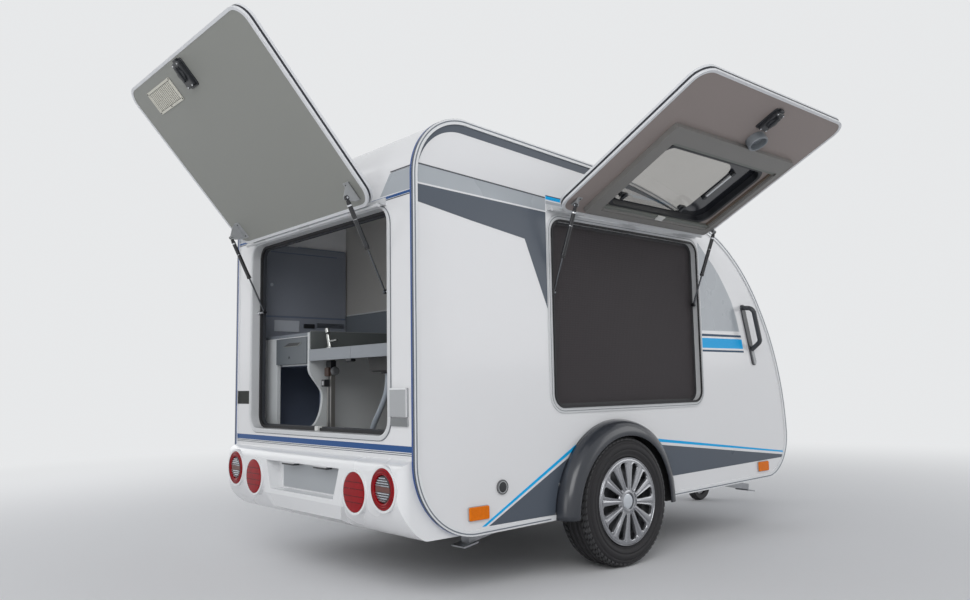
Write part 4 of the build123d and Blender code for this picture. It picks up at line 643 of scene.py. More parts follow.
for side in (-1, 1):
    for x, wide, low, high in ((0.686, 0.026, 0.735, 0.741), (1.750, 0.026, 0.735, 0.741),
                               (0.704, 0.008, 0.699, 0.735), (1.750, 0.008, 0.699, 0.735)):
        foot = [(x, 0.744), (x + wide, 0.744), (x + wide, 1.422), (x, 1.422)]
        prism(jambs, [place(a, side * low, b) for a, b in foot], (0, side * (high - low), 0))
jamb_piece = piece("side_opening_jambs", jambs, "trailer", "white_plastic", white_plastic)
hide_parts("frame_jambs")

# Sealant round the flanges, and the rubber seals
seal_grey = finish("seal_inner", (0.030, 0.033, 0.040), 0.5, mottle=0.05)
joints = bmesh.new()
band(joints, off_rear, *REAR_FLANGE, 0.0022, -0.0005, 0.0, 0.0030)
for side in (-1, 1):
    band(joints, off_side(side), *SIDE_FRAME, 0.0185, 0.0160, 0.0055, 0.0064)
piece("flange_joints", joints, "trailer", "seal", joint_grey)
seals = bmesh.new()
band(seals, off_rear, *REAR_CLEAR, -0.0003, -0.0120, -0.0470, -0.0350)
band(seals, off_rear, *REAR_CLEAR, -0.0040, -0.0180, -0.0590, -0.0460, 1)
for side in (-1, 1):
    band(seals, off_side(side), *SIDE_FRAME, 0.0050, -0.0050, 0.0060, 0.0105)
    band(seals, off_side(side), *SIDE_FRAME, 0.0035, -0.0035, 0.0105, 0.0120)
seal_piece = piece("rubber_seals", seals, "trailer", "seal", black_rubber, seal_grey)
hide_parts("hatch_seals")


# Insect screen
# A fine dark brown net, held tight in the right opening by a slim dark edge. It is dense, so the
# cabin behind it is only a hint.
def net(name, colour, pitch, alpha):
    """A woven net: crossing threads in relief, with a little of what is behind showing through."""
    made = finish(name, colour, 0.75, mottle=0.08, patch=0.4)
    tree = made.node_tree
    shader = tree.nodes["Principled BSDF"]
    shader.inputs["Alpha"].default_value = alpha
    where = tree.nodes["Texture Coordinate"]
    height = tree.nodes.new("ShaderNodeMath")
    height.operation = "MAXIMUM"
    for k, way in enumerate(("X", "Z")):
        wave = tree.nodes.new("ShaderNodeTexWave")
        wave.bands_direction = way
        wave.inputs["Scale"].default_value = 1.0 / pitch / 20
        wave.inputs["Distortion"].default_value = 0.2
        tree.links.new(where.outputs["Object"], wave.inputs["Vector"])
        tree.links.new(wave.outputs["Fac"], height.inputs[k])
    relief = tree.nodes.new("ShaderNodeBump")
    relief.inputs["Distance"].default_value = 0.0006
    tree.links.new(height.outputs[0], relief.inputs["Height"])
    tree.links.new(relief.outputs["Normal"], shader.inputs["Normal"])
    return made


screen_net = net("screen_net", (0.040, 0.034, 0.037), 0.0016, 0.90)
dress("insect_screen_right", screen_net)
screen_dark = finish("screen_edge", (0.03, 0.03, 0.033), 0.5, grain=0.0002)
screen_edge = bmesh.new()
band(screen_edge, off_side(-1), *SIDE_FRAME, -0.0005, -0.013, -0.0238, -0.0222)
piece("screen_edge", screen_edge, "trailer", "screen", screen_dark)


# Rear hatch
# A sandwich panel, gloss white outside and lined in light grey-green inside, in a white edge
# moulding with a black gasket in its groove. It turns on the knuckles at its top.
REAR_HINGE = (-0.034, 1.470)
REAR_TURN = math.radians(138.6)
REAR_HATCH = (((-0.562, 0.618), (0.562, 1.456)), CORNER + 0.012)
REAR_INNER_X = -0.020
hatch_lining = finish("hatch_lining", (0.285, 0.29, 0.268), 0.55, mottle=0.03, patch=0.5, grain=0.0001,
                      grain_size=0.001)
gasket_black = finish("gasket_black", (0.012, 0.014, 0.022), 0.45, mottle=0.05)
edge_white = finish("edge_white", (0.74, 0.75, 0.77), 0.30, coat=0.2, mottle=0.02)


def off_rear_hatch(y, z, depth):
    """A point of the closed rear hatch's inner face and a height off it, turned open."""
    x = REAR_INNER_X + depth - REAR_HINGE[0]
    up = z - REAR_HINGE[1]
    c, s = math.cos(REAR_TURN), math.sin(REAR_TURN)
    return place(REAR_HINGE[0] + x * c + up * s, y, REAR_HINGE[1] - x * s + up * c)


dress("rear_hatch_panel", gloss_white)
dress("rear_hatch_edge", edge_white)
lining = bmesh.new()
raised(lining, off_rear_hatch, ((-0.5495, 0.6305), (0.5495, 1.4435)), CORNER, -0.0002, 0.0006, 0.0003)
piece("rear_hatch_lining", lining, "rear_hatch", "white_plastic", hatch_lining)
gasket = bmesh.new()
band(gasket, off_rear_hatch, *REAR_HATCH, -0.0008, -0.0055, -0.0178, -0.0082)
piece("rear_hatch_gasket", gasket, "rear_hatch", "seal", gasket_black)


# Side hatches
# Each is built as the rear one, lined in warm grey. The right one stands open, the left one is
# shut.
SIDE_HINGE = (0.770, 1.512)
SIDE_TURN = math.radians(117.2)
SIDE_HATCH = (((0.690, 0.656), (1.762, 1.498)), CORNER + 0.012)
SIDE_LINING = (((0.7025, 0.6685), (1.7495, 1.4855)), CORNER)
SIDE_INNER = 0.755
side_lining = finish("side_lining", (0.31, 0.265, 0.25), 0.6, mottle=0.05, patch=0.5, grain=0.0001,
                     grain_size=0.001)


def off_side_hatch(side):
    """A point of a closed side hatch's inner face and a height off it; the right one is turned open."""
    def at(x, z, depth):
        out = SIDE_INNER - depth - SIDE_HINGE[0]
        up = z - SIDE_HINGE[1]
        c, s = (math.cos(SIDE_TURN), math.sin(SIDE_TURN)) if side < 0 else (1.0, 0.0)
        return place(x, side * (SIDE_HINGE[0] + out * c - up * s), SIDE_HINGE[1] + out * s + up * c)
    return at


WINDOW = (((0.902, 1.016), (1.622, 1.404)), 0.066)
SIDES = (("right", -1), ("left", 1))
for name, side in SIDES:
    at = off_side_hatch(side)
    body = "side_hatch_" + name
    dress("side_hatch_panel_" + name, gloss_white)
    dress("side_hatch_edge_" + name, edge_white)
    lining = bmesh.new()
    lap(lining, at, (*SIDE_LINING, 0.0), (*WINDOW, 0.0005), -0.0002, 0.0006)
    piece("side_hatch_lining_" + name, lining, body, "white_plastic", side_lining)
    gasket = bmesh.new()
    band(gasket, at, *SIDE_HATCH, -0.0008, -0.0055, -0.0178, -0.0082)
    piece("side_hatch_gasket_" + name, gasket, body, "seal", gasket_black)


# Side windows
# An acrylic pane, tinted grey, laps over the outside of the hatch. Its printed edge is black, and
# wide towards the front. A black frame lines the hole and laps over the hatch's inner face. Two
# catches and a stay sit on the pane.
def clear_plastic(name, colour, roughness):
    """Tinted acrylic that lets light through."""
    made = bpy.data.materials.new(name)
    made.use_nodes = True
    tree = made.node_tree
    shader = tree.nodes["Principled BSDF"]
    shader.inputs["Roughness"].default_value = roughness
    shader.inputs["Transmission Weight"].default_value = 1.0
    shader.inputs["IOR"].default_value = 1.25
    where = tree.nodes.new("ShaderNodeTexCoord")
    drift = tree.nodes.new("ShaderNodeTexNoise")
    drift.inputs["Scale"].default_value = 2.5
    tree.links.new(where.outputs["Object"], drift.inputs["Vector"])
    tone = tree.nodes.new("ShaderNodeMix")
    tone.data_type = "RGBA"
    tone.inputs["A"].default_value = [c * 0.94 for c in colour] + [1.0]
    tone.inputs["B"].default_value = [min(1.0, c * 1.06) for c in colour] + [1.0]
    tree.links.new(drift.outputs["Fac"], tone.inputs["Factor"])
    tree.links.new(tone.outputs["Result"], shader.inputs["Base Color"])
    return made


tinted_acrylic = clear_plastic("tinted_acrylic", (0.44, 0.43, 0.41), 0.03)
print_black = finish("window_print", (0.010, 0.011, 0.016), 0.10, coat=0.4, mottle=0.05)
black_plastic = finish("black_plastic", (0.020, 0.022, 0.026), 0.40, grain=0.0003, grain_size=0.0025)
CLEAR = (((0.926, 1.050), (1.452, 1.390)), 0.070)
PANE_LOW = -0.035
PANE_HIGH = -0.026
for name, side in SIDES:
    at = off_side_hatch(side)
    body = "side_hatch_" + name
    pane = bmesh.new()
    pane_edge = ((0.0205, PANE_LOW), (0.022, PANE_LOW + 0.0015), (0.022, PANE_HIGH - 0.0002))
    stack(pane, rings_round(at, *WINDOW, pane_edge))
    piece("window_pane_" + name, pane, body, "tinted_glass", tinted_acrylic)
    printed = bmesh.new()
    lap(printed, at, (*WINDOW, 0.021), (*CLEAR, 0.0), PANE_HIGH, PANE_HIGH + 0.0006)
    piece("window_print_" + name, printed, body, "black_plastic", print_black)
    frame_ring = bmesh.new()
    for outer, inner, low, high in (
        (0.0, -0.009, -0.026, 0.0),
        (0.009, -0.009, 0.0, 0.0035),
        (0.007, -0.003, 0.0035, 0.0045),
    ):
        band(frame_ring, at, *WINDOW, outer, inner, low, high)
    frame_piece = piece("window_frame_" + name, frame_ring, body, "black_plastic", black_plastic)
    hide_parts("side_window_" + name)
    hardware = bmesh.new()
    for x, z in ((0.985, 1.352), (1.405, 1.352)):
        raised(hardware, at, ((x - 0.024, z - 0.011), (x + 0.024, z + 0.011)), 0.006, -0.024, -0.012, 0.002)
        raised(hardware, at, ((x - 0.009, z - 0.016), (x + 0.009, z + 0.020)), 0.005, -0.012, -0.005, 0.002)
    for x in (1.470, 0.928):
        raised(hardware, at, ((x - 0.006, 1.085), (x + 0.006, 1.265)), 0.005, -0.021, -0.013, 0.001, 1)
        for z in (1.078, 1.250):
            raised(hardware, at, ((x - 0.009, z), (x + 0.009, z + 0.022)), 0.004, -0.025, -0.010)
    piece("window_hardware_" + name, hardware, body, "black_plastic", black_plastic, bright_steel)


# Window cassettes
# A beige moulded frame round each window holds a blind at one end and a fly net at the other.
# Their bars park at the ends of its opening, and a small white clip sits on the blind's bar.
cassette_beige = finish("cassette_beige", (0.22, 0.213, 0.203), 0.48, mottle=0.03, grain=0.0001,
                        grain_size=0.0015)
rail_grey = finish("blind_rail", (0.17, 0.18, 0.165), 0.40, mottle=0.05)
blind_brown = finish("blind_edge", (0.14, 0.105, 0.08), 0.7, grain=0.0002)
clip_white = finish("clip_white", (0.70, 0.70, 0.68), 0.35, mottle=0.02)
CASSETTE = ((0.822, 0.914), (1.700, 1.464))
CASSETTE_OPENING = ((0.890, 0.992), (1.668, 1.432))
for name, side in SIDES:
    at = off_side_hatch(side)
    body = "side_hatch_" + name
    dress("window_cassette_" + name, cassette_beige)
    rails = bmesh.new()
    (x0, z0), (x1, z1) = CASSETTE_OPENING
    for limits, low, high, slot in (
        (((x0 + 0.0002, z1 - 0.027), (x1 - 0.0002, z1 - 0.0002)), 0.001, 0.015, 1),
        (((x0 + 0.0002, z1 - 0.012), (x1 - 0.0002, z1 - 0.0002)), 0.015, 0.019, 0),
        (((x0 + 0.0002, z0 + 0.0002), (x1 - 0.0002, z0 + 0.018)), 0.001, 0.014, 1),
        (((x1 - 0.016, z0 + 0.018), (x1 - 0.0002, z1 - 0.027)), 0.001, 0.008, 2),
        (((x1 - 0.005, z0 + 0.018), (x1 - 0.0002, z1 - 0.027)), 0.008, 0.020, 0),
        (((x0 + 0.0002, z0 + 0.018), (x0 + 0.010, z1 - 0.027)), 0.001, 0.010, 0),
        (((1.262, z1 - 0.034), (1.312, z1 - 0.006)), 0.016, 0.0215, 3),
    ):
        raised(rails, at, limits, 0.002, low, high, 0.001, slot)
    band(rails, at, CASSETTE, 0.012, -0.004, -0.0065, 0.0218, 0.0224, 0)
    piece("cassette_rails_" + name, rails, body, "cassette", cassette_beige, rail_grey, blind_brown,
          clip_white)


# Hatch fittings
# Black latches, grey strut brackets screwed to the linings, a cream louvred vent in the rear
# hatch and a grey cup socket in each side hatch.
bracket_grey = finish("bracket_grey", (0.36, 0.37, 0.38), 0.45, mottle=0.06, patch=0.02)
vent_cream = finish("vent_cream", (0.66, 0.64, 0.56), 0.42, mottle=0.02)
vent_dark = finish("vent_dark", (0.10, 0.10, 0.09), 0.7)
screw_dark = finish("screw_dark", (0.06, 0.06, 0.06), 0.35, metallic=0.8)
cup_grey = finish("cup_grey", (0.23, 0.25, 0.27), 0.42, mottle=0.05)


def flat_prism(mesh, at, points, low, high, slot=0):
    """A plate with straight sides, given by its corners, between two heights off a face."""
    stack(mesh, [[at(a, b, height) for a, b in points] for height in (low, high)], slot)


def disc(mesh, at, centre, radii, slot=0, steps=20, closed=False):
    """A turned piece on a face: pairs of radius and height from its foot to its top."""
    rings = []
    for radius, height in radii:
        rings.append(circle(lambda a, b: at(centre[0] + a, centre[1] + b, height), radius, steps))
    stack(mesh, rings, slot, closed)


SCREW = ((0.0038, 0.0), (0.0038, 0.0008), (0.0030, 0.0018), (0.0012, 0.0022))


def screw(mesh, at, centre, height, slot):
    """A small round-headed screw."""
    disc(mesh, at, centre, [(r, height + h) for r, h in SCREW], slot, 12)


def latch(mesh, at, limits, depth, slot=0, chrome=1):
    """A two-part compression latch: a body, a turning grip with a rib, and a hook at its end."""
    (a0, b0), (a1, b1) = limits
    middle = (a0 + a1) / 2
    raised(mesh, at, limits, 0.013, 0.0, 0.006, 0.002, slot)
    raised(mesh, at, ((a0 + 0.006, b0 + 0.006), (a1 - 0.006, b1 - 0.006)), 0.010, 0.006, depth, 0.004, slot)
    disc(mesh, at, (middle, b0 + 0.058), ((0.025, depth), (0.025, depth + 0.004), (0.022, depth + 0.006)),
         slot, 28)
    raised(mesh, at, ((middle - 0.0075, b0 + 0.022), (middle + 0.0075, b1 - 0.034)), 0.006,
           depth + 0.004, depth + 0.0125, 0.003, slot)
    raised(mesh, at, ((middle - 0.014, b0 - 0.004), (middle + 0.014, b0 + 0.010)), 0.003, 0.002,
           depth * 0.7, 0.002, slot)
    for b in (b0 + 0.014, b1 - 0.012):
        screw(mesh, at, (middle + 0.020, b), depth - 0.001, chrome)
        screw(mesh, at, (middle - 0.020, b), depth - 0.001, chrome)


# The pins on the closed hatches, as height above the ground and height off the inner face
REAR_PIN = (1.383, 0.053)
SIDE_PIN = (1.425, 0.026)
STRUT_X = (0.730, 1.732)
fittings = bmesh.new()
latch(fittings, off_rear_hatch, ((-0.016, 0.642), (0.058, 0.764)), 0.022, 0, 1)
VENT = (((0.162, 0.672), (0.412, 0.776)), 0.006)
raised(fittings, off_rear_hatch, *VENT, 0.0, 0.002, 0.0005, 3)
band(fittings, off_rear_hatch, *VENT, 0.0, -0.010, 0.002, 0.004, 2)
for a, b in ((0.168, 0.678), (0.406, 0.678), (0.168, 0.770), (0.406, 0.770), (0.287, 0.770)):
    screw(fittings, off_rear_hatch, (a, b), 0.0035, 4)
for k in range(15):
    a = 0.179 + 0.216 * k / 14
    slat = ((a - 0.0036, 0.684), (a + 0.0018, 0.684), (a + 0.0018, 0.764), (a - 0.0036, 0.764))
    low = [off_rear_hatch(y, z, 0.0022) for y, z in slat]
    high = [off_rear_hatch(y + 0.0020, z, 0.0042) for y, z in slat]
    stack(fittings, [low, high], 2)
for side in (-1, 1):
    def off_hatch(a, b, depth, s=side):
        return off_rear_hatch(s * a, b, depth)
    raised(fittings, off_hatch, ((0.462, 1.341), (0.502, 1.425)), 0.003, 0.0, 0.004, 0.001, 5)
    for b in (1.352, 1.414):
        screw(fittings, off_hatch, (0.476, b), 0.004, 4)
    web = ((0.0, 1.341), (0.0, 1.425), (0.022, 1.416), (0.044, 1.403), (0.054, 1.394), (0.0595, 1.387),
           (0.061, 1.383), (0.0595, 1.379), (0.053, 1.372), (0.030, 1.354))
    stack(fittings, [[off_hatch(y, z, depth) for depth, z in web] for y in (0.498, 0.502)], 5)
    pin(fittings, lambda y, a, b: off_hatch(y, REAR_PIN[0] + b, REAR_PIN[1] + a), (0.4965, 0.5155),
        0.0045, 1)
rear_fittings = piece("rear_hatch_hardware", fittings, "rear_hatch", "black_plastic", black_plastic,
                      bright_steel, vent_cream, vent_dark, screw_dark, bracket_grey)
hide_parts("rear_hatch_fittings")

for name, side in SIDES:
    at = off_side_hatch(side)
    fittings = bmesh.new()
    latch(fittings, at, ((1.240, 0.704), (1.306, 0.818)), 0.022, 0, 1)
    cup = ((0.0425, 0.0), (0.0425, 0.030), (0.041, 0.0355), (0.0385, 0.036), (0.0355, 0.034),
           (0.0335, 0.008), (0.004, 0.0075))
    disc(fittings, at, (1.316, 0.868), cup, 2, 40)
    for centre, way in zip(STRUT_X, (1, -1)):
        near, far = centre + way * 0.006, centre + way * 0.010
        foot = sorted((near, near + way * 0.026))
        raised(fittings, at, ((foot[0], 1.399), (foot[1], 1.451)), 0.004, 0.0, 0.004, 0.001, 3)
        web = ((0.0, 1.405), (0.0, 1.445), (0.016, 1.436), (0.031, 1.4315), (0.0335, 1.425), (0.031, 1.4185),
               (0.016, 1.414))
        stack(fittings, [[at(x, z, depth) for depth, z in web] for x in (near, far)], 3)
        ends = (centre - way * 0.007, far + way * 0.002)
        pin(fittings, lambda x, a, b: at(x, SIDE_PIN[0] + b, SIDE_PIN[1] + a), ends, 0.0042, 1)
        for z in (1.407, 1.443):
            screw(fittings, at, (near + way * 0.017, z), 0.004, 4)
    hardware = piece("side_hatch_hardware_" + name, fittings, "side_hatch_" + name, "black_plastic",
                     black_plastic, bright_steel, cup_grey, bracket_grey, screw_dark)
    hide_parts("side_hatch_fittings_" + name)


# Gas struts
# Black barrels on the hatches, dark steel rods down to the studs on the frames. Each barrel has a
# black end fitting with a bright clip, and a rubber wiper where the rod comes out.
strut_black = finish("strut_black", (0.012, 0.013, 0.016), 0.22, coat=0.4, mottle=0.1, patch=0.05)
socket_black = finish("strut_socket", (0.02, 0.02, 0.022), 0.5, grain=0.0002)
chrome = finish("chrome", (0.75, 0.76, 0.78), 0.10, metallic=1.0, mottle=0.03, patch=0.01)
for node in ("rear_strut_barrels", "side_strut_barrels_right", "side_strut_barrels_left"):
    dress(node, strut_black)
rod_dark = finish("strut_rod", (0.11, 0.115, 0.125), 0.16, metallic=1.0, mottle=0.05, patch=0.02)
for node in ("rear_strut_rods", "side_strut_rods_right", "side_strut_rods_left"):
    dress(node, rod_dark)


def sleeve(mesh, start, end, near, far, radii, slot, steps=20, hollow=False):
    """A turned piece on the line from start to end, between two distances along it."""
    way = (end - start).normalized()
    across = way.cross(Vector((0.3, 0.9, 0.2))).normalized()
    other = way.cross(across)
    rings = []
    for share, radius in radii:
        middle = start + way * (near + (far - near) * share)
        rings.append(circle(lambda a, b: middle + across * a + other * b, radius, steps))
    stack(mesh, rings, slot, closed=hollow)


# Share of the length and of the radius, along a collar's outside and back along its bore
ROUND = ((0.0, 0.85), (0.08, 1.0), (0.92, 1.0), (1.0, 0.85))
BORE = ((1.0, 0.70), (0.0, 0.70))


def ring_on(mesh, start, end, near, far, radius, slot, hollow=False):
    """A round-edged collar on a line, solid or with a bore for what slides through it."""
    profile = ROUND + BORE if hollow else ROUND
    sleeve(mesh, start, end, near, far, [(share, radius * size) for share, size in profile], slot,
           hollow=hollow)


def strut_details(name, body, ends, barrel):
    """End fitting, clip and wiper for each strut of a body."""
    details = bmesh.new()
    for start, end in ends:
        for near, far, radius, slot in (
            (0.010, 0.026, 0.0075, 0),
            (0.027, 0.034, 0.0098, 1),
            (barrel - 0.012, barrel + 0.0005, 0.0097, 0),
            (0.085, 0.087, 0.0093, 1),
        ):
            ring_on(details, start, end, near, far, radius, slot, hollow=True)
    piece(name, details, body, "black_metal", socket_black, chrome)


REAR_STRUT_Y = 0.508
REAR_STUD = (0.030, 1.148)
rear_ends = []
for side in (-1, 1):
    start = off_rear_hatch(side * REAR_STRUT_Y, *REAR_PIN)
    rear_ends.append((start, place(REAR_STUD[0], side * REAR_STRUT_Y, REAR_STUD[1])))
strut_details("rear_strut_details", "rear_strut_barrels", rear_ends, 0.208)
stud_feet = bmesh.new()
for side in (-1, 1):
    def off_jamb(x, z, depth, s=side):
        return place(x, s * (REAR_CLEAR_HALF - depth), z)
    disc(stud_feet, off_jamb, REAR_STUD, ((0.010, 0.0), (0.010, 0.004), (0.006, 0.012)), 0, 20)
piece("rear_stud_feet", stud_feet, "trailer", "steel", bright_steel)
for name, side in SIDES:
    at = off_side_hatch(side)
    ends = [(at(x, *SIDE_PIN), place(x, side * 0.728, 1.167)) for x in STRUT_X]
    strut_details("side_strut_details_" + name, "side_strut_barrels_" + name, ends, 0.224)


# Wheel arches
# Thick moulded covers in satin grey-blue black, screwed on the wall. The lip hangs over the top
# of the tyre, and the cover gets flatter towards its front end. A black lining closes the inside.
ARCH_BASE = 0.392
arch_black = finish("arch_plastic", (0.030, 0.034, 0.043), 0.24, coat=0.25, grain=0.00012,
                    grain_size=0.0015, mottle=0.06, patch=0.15)
lining_black = finish("arch_lining", (0.010, 0.010, 0.011), 0.75, grain=0.0003, mottle=0.1)


def arch_section(turn):
    """The cover's section at one angle, as pairs of radius and distance off the wall."""
    rise = min(1.0, turn / (0.42 * math.pi))
    rise = rise * rise * (3 - 2 * rise)
    proud = 0.044 + 0.034 * rise
    lip = 0.334 - 0.013 * rise
    outside = (
        (ARCH_BASE, 0.0005), (ARCH_BASE - 0.001, 0.20 * proud), (ARCH_BASE - 0.004, 0.42 * proud),
        (ARCH_BASE - 0.010, 0.64 * proud), (ARCH_BASE - 0.020, 0.82 * proud),
        (ARCH_BASE - 0.034, 0.94 * proud), (ARCH_BASE - 0.048, proud), (lip + 0.006, proud),
        (lip + 0.001, proud - 0.0015), (lip, proud - 0.005),
    )
    inside = (
        (lip + 0.001, proud - 0.0080), (lip + 0.008, proud - 0.0060), (ARCH_BASE - 0.046, proud - 0.0055),
        (ARCH_BASE - 0.030, 0.84 * proud), (ARCH_BASE - 0.016, 0.62 * proud), (ARCH_BASE - 0.006, 0.0005),
    )
    return outside + inside


ARCH_STEPS = 64
ARCH_LINING = ((0.3440, -0.175), (0.3440, 0.0035), (0.3850, 0.0035), (0.3850, 0.0010), (0.3454, 0.0010),
               (0.3454, -0.175))


def arch_rings(side, section):
    """The section at each angle along the arch, in pairs of radius and distance off the wall."""
    rings = []
    for k in range(ARCH_STEPS + 1):
        turn = math.pi * k / ARCH_STEPS
        c, s = math.cos(turn), math.sin(turn)
        rings.append([
            place(ARCH_X + r * c, side * (HALF_WIDTH + out), ARCH_Z + r * s) for r, out in section(turn)
        ])
    return rings


covers = bmesh.new()
linings = bmesh.new()
for side in (-1, 1):
    stack(covers, arch_rings(side, arch_section))
    stack(linings, arch_rings(side, lambda turn: ARCH_LINING))
cover_piece = piece("wheel_arch_covers", covers, "trailer", "black_plastic", arch_black, smooth=True)
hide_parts("wheel_arches")
piece("arch_linings", linings, "trailer", "black_plastic", lining_black)


# Wheels
# A steel rim behind a silver cap with twelve blades, and a black tyre with a rounded shoulder,
# rings on its wall, four grooves round the tread and lugs across both shoulders.
WHEEL_X = 1.090
WHEEL_Z = 0.276
TYRE_OUT = 0.800
TYRE_WIDTH = 0.165
LUGS = 62
tyre_black = finish("tyre_rubber", (0.024, 0.023, 0.025), 0.62, grain=0.0004, grain_size=0.0025,
                    mottle=0.12, patch=0.08, specular=0.3)
lug_rubber = finish("tread_rubber", (0.045, 0.045, 0.047), 0.55, grain=0.0004, grain_size=0.003,
                    mottle=0.12, patch=0.05, specular=0.4)
steel_dark = finish("wheel_steel", (0.055, 0.057, 0.062), 0.45, metallic=0.4, mottle=0.08)
cap_silver = finish("cap_silver", (0.33, 0.335, 0.355), 0.24, metallic=0.75, coat=0.5, mottle=0.03,
                    patch=0.05)
cap_disc = finish("cap_disc", (0.62, 0.65, 0.69), 0.16, metallic=0.5, coat=0.5, mottle=0.02)


def wheel_point(side, radius, turn, y):
    """A point at a radius and an angle about the axle, and a distance from the middle plane."""
    return place(WHEEL_X + radius * math.cos(turn), side * y, WHEEL_Z + radius * math.sin(turn))


def turned_ring(mesh, side, profile, slot, steps):
    """Turns a closed profile of radius and distance from the middle plane about the axle."""
    rings = []
    for k in range(steps):
        turn = 2 * math.pi * k / steps
        rings.append([wheel_point(side, radius, turn, y) for radius, y in profile])
    stack(mesh, rings, slot, closed=True)


def repeat_round(name, base, count, material):
    """Repeats a mesh evenly about the axle with a small node tree, and gives one plain mesh."""
    tree = bpy.data.node_groups.new(name, "GeometryNodeTree")
    tree.interface.new_socket("Geometry", in_out="INPUT", socket_type="NodeSocketGeometry")
    tree.interface.new_socket("Count", in_out="INPUT", socket_type="NodeSocketInt")
    tree.interface.new_socket("Piece", in_out="INPUT", socket_type="NodeSocketObject")
    tree.interface.new_socket("Geometry", in_out="OUTPUT", socket_type="NodeSocketGeometry")
    add = tree.nodes.new
    entry = add("NodeGroupInput")
    out = add("NodeGroupOutput")
    line = add("GeometryNodeMeshLine")
    line.inputs["Offset"].default_value = (0, 0, 0)
    info = add("GeometryNodeObjectInfo")
    spread = add("GeometryNodeInstanceOnPoints")
    index = add("GeometryNodeInputIndex")
    share = add("ShaderNodeMath")
    share.operation = "DIVIDE"
    angle = add("ShaderNodeMath")
    angle.operation = "MULTIPLY"
    angle.inputs[1].default_value = 2 * math.pi
    euler = add("ShaderNodeCombineXYZ")
    real = add("GeometryNodeRealizeInstances")
    shade = add("GeometryNodeSetMaterial")
    shade.inputs["Material"].default_value = material
    wire = tree.links.new
    wire(entry.outputs["Count"], line.inputs["Count"])
    wire(entry.outputs["Piece"], info.inputs["Object"])
    wire(line.outputs["Mesh"], spread.inputs["Points"])
    wire(info.outputs["Geometry"], spread.inputs["Instance"])
    wire(index.outputs[0], share.inputs[0])
    wire(entry.outputs["Count"], share.inputs[1])
    wire(share.outputs[0], angle.inputs[0])
    wire(angle.outputs[0], euler.inputs["Y"])
    wire(euler.outputs[0], spread.inputs["Rotation"])
    wire(spread.outputs["Instances"], real.inputs["Geometry"])
    wire(real.outputs["Geometry"], shade.inputs["Geometry"])
    wire(shade.outputs["Geometry"], out.inputs["Geometry"])
    source = bpy.data.objects.new(name + "_one", base)
    bpy.context.scene.collection.objects.link(source)
    carrier = bpy.data.objects.new(name, bpy.data.meshes.new(name + "_start"))
    bpy.context.scene.collection.objects.link(carrier)
    modifier = carrier.modifiers.new("repeat", "NODES")
    modifier.node_group = tree
    sockets = {item.name: item.identifier for item in tree.interface.items_tree if item.in_out == "INPUT"}
    modifier[sockets["Count"]] = count
    modifier[sockets["Piece"]] = source
    bpy.context.view_layer.update()
    seen_by = bpy.context.evaluated_depsgraph_get()
    mesh = bpy.data.meshes.new_from_object(carrier.evaluated_get(seen_by))
    carrier.modifiers.remove(modifier)
    carrier.data = mesh
    bpy.data.objects.remove(source)
    mesh.transform(Matrix.Translation(place(WHEEL_X, 0, WHEEL_Z)))
    return carrier


# Radius and distance in from the outer face, for the tyre's skin from bead to bead
TYRE_WALL = (
    (0.1785, 0.020), (0.184, 0.016), (0.190, 0.0125), (0.192, 0.0085), (0.1945, 0.0078), (0.196, 0.0095),
    (0.205, 0.0045), (0.212, 0.0018), (0.2185, 0.0004), (0.2195, 0.0020), (0.2215, 0.0020),
    (0.2225, 0.0004), (0.234, 0.0006), (0.2445, 0.0026), (0.2455, 0.0042), (0.2475, 0.0044),
    (0.2485, 0.0030), (0.2550, 0.0060), (0.2600, 0.0100), (0.2640, 0.0150), (0.2668, 0.0215),
)
TREAD = (
    # distance in from the outer face, radius
    (0.0260, 0.2684), (0.0405, 0.2698), (0.0410, 0.2678), (0.0475, 0.2678), (0.0480, 0.2752),
    (0.0640, 0.2758), (0.0645, 0.2685), (0.0725, 0.2685), (0.0730, 0.2760), (0.0825, 0.2760),
)


def tyre_profile():
    """The tyre's section from the outer bead over the tread to the inner bead."""
    half = [(radius, TYRE_OUT - inset) for radius, inset in TYRE_WALL]
    half += [(radius, TYRE_OUT - inset) for inset, radius in TREAD]
    middle = TYRE_OUT - TYRE_WIDTH / 2
    return half + [(radius, 2 * middle - y) for radius, y in reversed(half[:-1])]


def lug(side, inner):
    """One shoulder lug: a low block that leans a little, between two shoulder sipes."""
    mesh = bmesh.new()
    lean = 0.010
    width = 2 * math.pi / LUGS * 0.66
    for insets in ((0.0098, 0.0165), (0.0165, 0.0255), (0.0268, 0.0400)):
        rings = []
        for share, inset in enumerate(insets):
            radius = 0.2665 + 0.0085 * min(1.0, max(0.0, (inset - 0.010) / 0.018))
            y = TYRE_OUT - TYRE_WIDTH + inset if inner else TYRE_OUT - inset
            foot = radius - 0.008
            ring = []
            for r, turn in ((foot, 0.0), (radius, 0.02 * width), (radius, 0.98 * width), (foot, width)):
                angle = turn + lean * share / radius
                ring.append((r * math.cos(angle), side * y, r * math.sin(angle)))
            rings.append(ring)
        stack(mesh, rings)
    return as_data("tread_lug", mesh)


